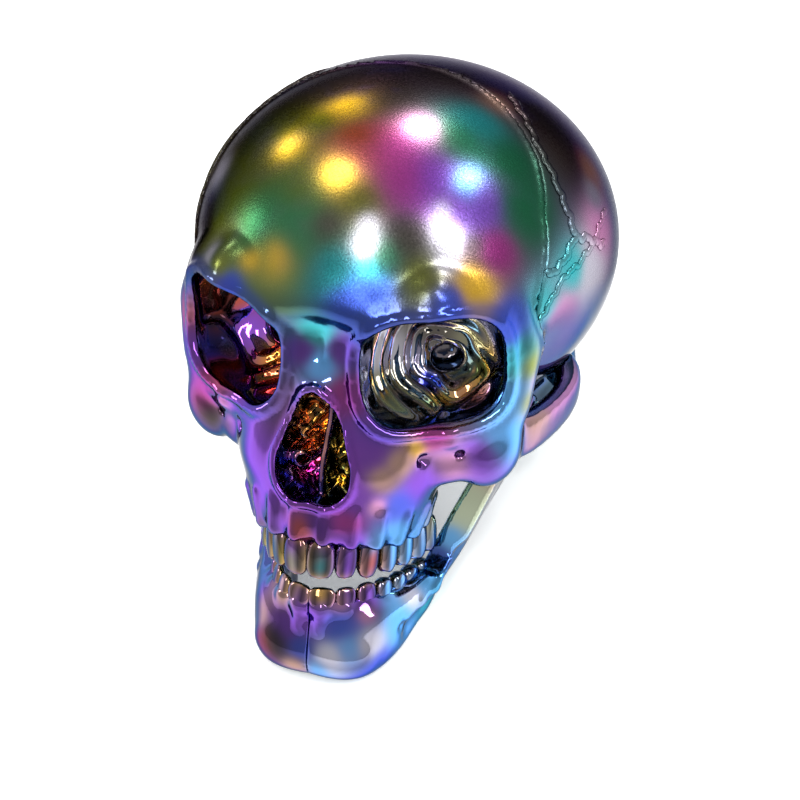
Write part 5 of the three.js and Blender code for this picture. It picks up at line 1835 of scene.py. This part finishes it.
floor_mesh = bpy.data.meshes.new("floor")
half = FLOOR_SIZE / 2
corners = [(-half, -half, 0), (half, -half, 0), (half, half, 0), (-half, half, 0)]
floor_mesh.from_pydata(corners, [], [(0, 1, 2, 3)])
floor = bpy.data.objects.new("floor", floor_mesh)
bpy.context.scene.collection.objects.link(floor)
material, nodes, links, paper = bare_material("white paper")
paper.inputs["Base Color"].default_value = PAPER["colour"]
paper.inputs["Roughness"].default_value = PAPER["roughness"]
paper.inputs["Specular IOR Level"].default_value = PAPER["sheen"]
paper.inputs["Emission Color"].default_value = WHITE
lift = nodes.new("ShaderNodeMath")
lift.operation = "MULTIPLY"
lift.inputs[1].default_value = PAPER["own_light"]
links.new(light_path_sum(nodes, links), lift.inputs[0])
links.new(lift.outputs[0], paper.inputs["Emission Strength"])
floor_mesh.materials.append(material)

world = bpy.data.worlds.new("studio")
bpy.context.scene.world = world
world.use_nodes = True
air_nodes, air_links = world.node_tree.nodes, world.node_tree.links
air = air_nodes["Background"]
air.inputs["Color"].default_value = WHITE
seen = air_nodes.new("ShaderNodeMapRange")
seen.inputs["To Min"].default_value = SKY["on_object"]
seen.inputs["To Max"].default_value = SKY["seen"]
air_links.new(light_path_sum(air_nodes, air_links), seen.inputs["Value"])
air_links.new(seen.outputs["Result"], air.inputs["Strength"])
print("floor", FLOOR_SIZE, "m wide")

# %% [markdown]
# Soft lamps stand where the photograph's highlights say: a point of the head mirrors a lamp when
# its normal lies halfway between the lamp and the camera.

# %% Lamps
LAMPS = [
    # name, direction, distance, width, height, power
    ("crown left", (-0.35, 0.07, 0.93), 0.6, 0.13, 0.13, 0.8),
    ("left", (-0.73, 0.42, 0.53), 0.6, 0.1, 0.1, 0.4),
    ("back left", (-0.47, 0.76, 0.45), 0.6, 0.22, 0.07, 0.5),
    ("back", (0.03, 0.65, 0.76), 0.6, 0.12, 0.12, 1.1),
    ("front high", (0.11, -0.69, 0.72), 0.6, 0.08, 0.4, 1.7),
    ("right", (0.73, -0.22, 0.65), 0.6, 0.09, 0.36, 1.7),
    ("right back", (0.54, 0.39, 0.75), 0.6, 0.09, 0.09, 0.7),
    ("left low", (-0.95, -0.15, 0.25), 0.6, 0.12, 0.2, 0.7),
]
HEAD_MIDDLE = Vector((0.0, 0.01, 0.085))
for name, direction, distance, width, height, power in LAMPS:
    lamp = bpy.data.lights.new(name, "AREA")
    lamp.shape = "RECTANGLE"
    lamp.size, lamp.size_y = width, height
    lamp.energy = power
    holder = bpy.data.objects.new(name, lamp)
    away = Vector(direction).normalized()
    aim = away.to_track_quat("Z", "Y").to_matrix().to_4x4()
    holder.matrix_world = Matrix.Translation(HEAD_MIDDLE + away * distance) @ aim
    bpy.context.scene.collection.objects.link(holder)
print("lamps:", len(LAMPS))

# %% [markdown]
# The camera's place was fitted to points that can be named in the photograph, such as the corners
# of the sockets, the nose and the chin. It is given by its turn round the skull, its height over
# it, a small roll and its distance, and by the point that it looks at.

# %% Camera
CAMERA = {"azimuth": 23.2, "elevation": 42.55, "roll": -5.98, "distance": 0.5968, "lens": 84.5}
CAMERA_AIM = Vector((0.0075, -0.0193, 0.0521))
SENSOR_WIDTH = 36
lens = bpy.data.cameras.new("camera")
lens.lens, lens.sensor_width = CAMERA["lens"], SENSOR_WIDTH
camera = bpy.data.objects.new("camera", lens)
around, up = math.radians(CAMERA["azimuth"]), math.radians(CAMERA["elevation"])
back = Vector((math.sin(around) * math.cos(up), -math.cos(around) * math.cos(up), math.sin(up)))
roll = Matrix.Rotation(math.radians(CAMERA["roll"]), 4, "Z")
turn = back.to_track_quat("Z", "Y").to_matrix().to_4x4() @ roll
camera.matrix_world = Matrix.Translation(CAMERA_AIM + back * CAMERA["distance"]) @ turn
bpy.context.scene.collection.objects.link(camera)
bpy.context.scene.camera = camera
bpy.context.scene.view_settings.view_transform = "Standard"
print("camera at", camera.matrix_world.translation)
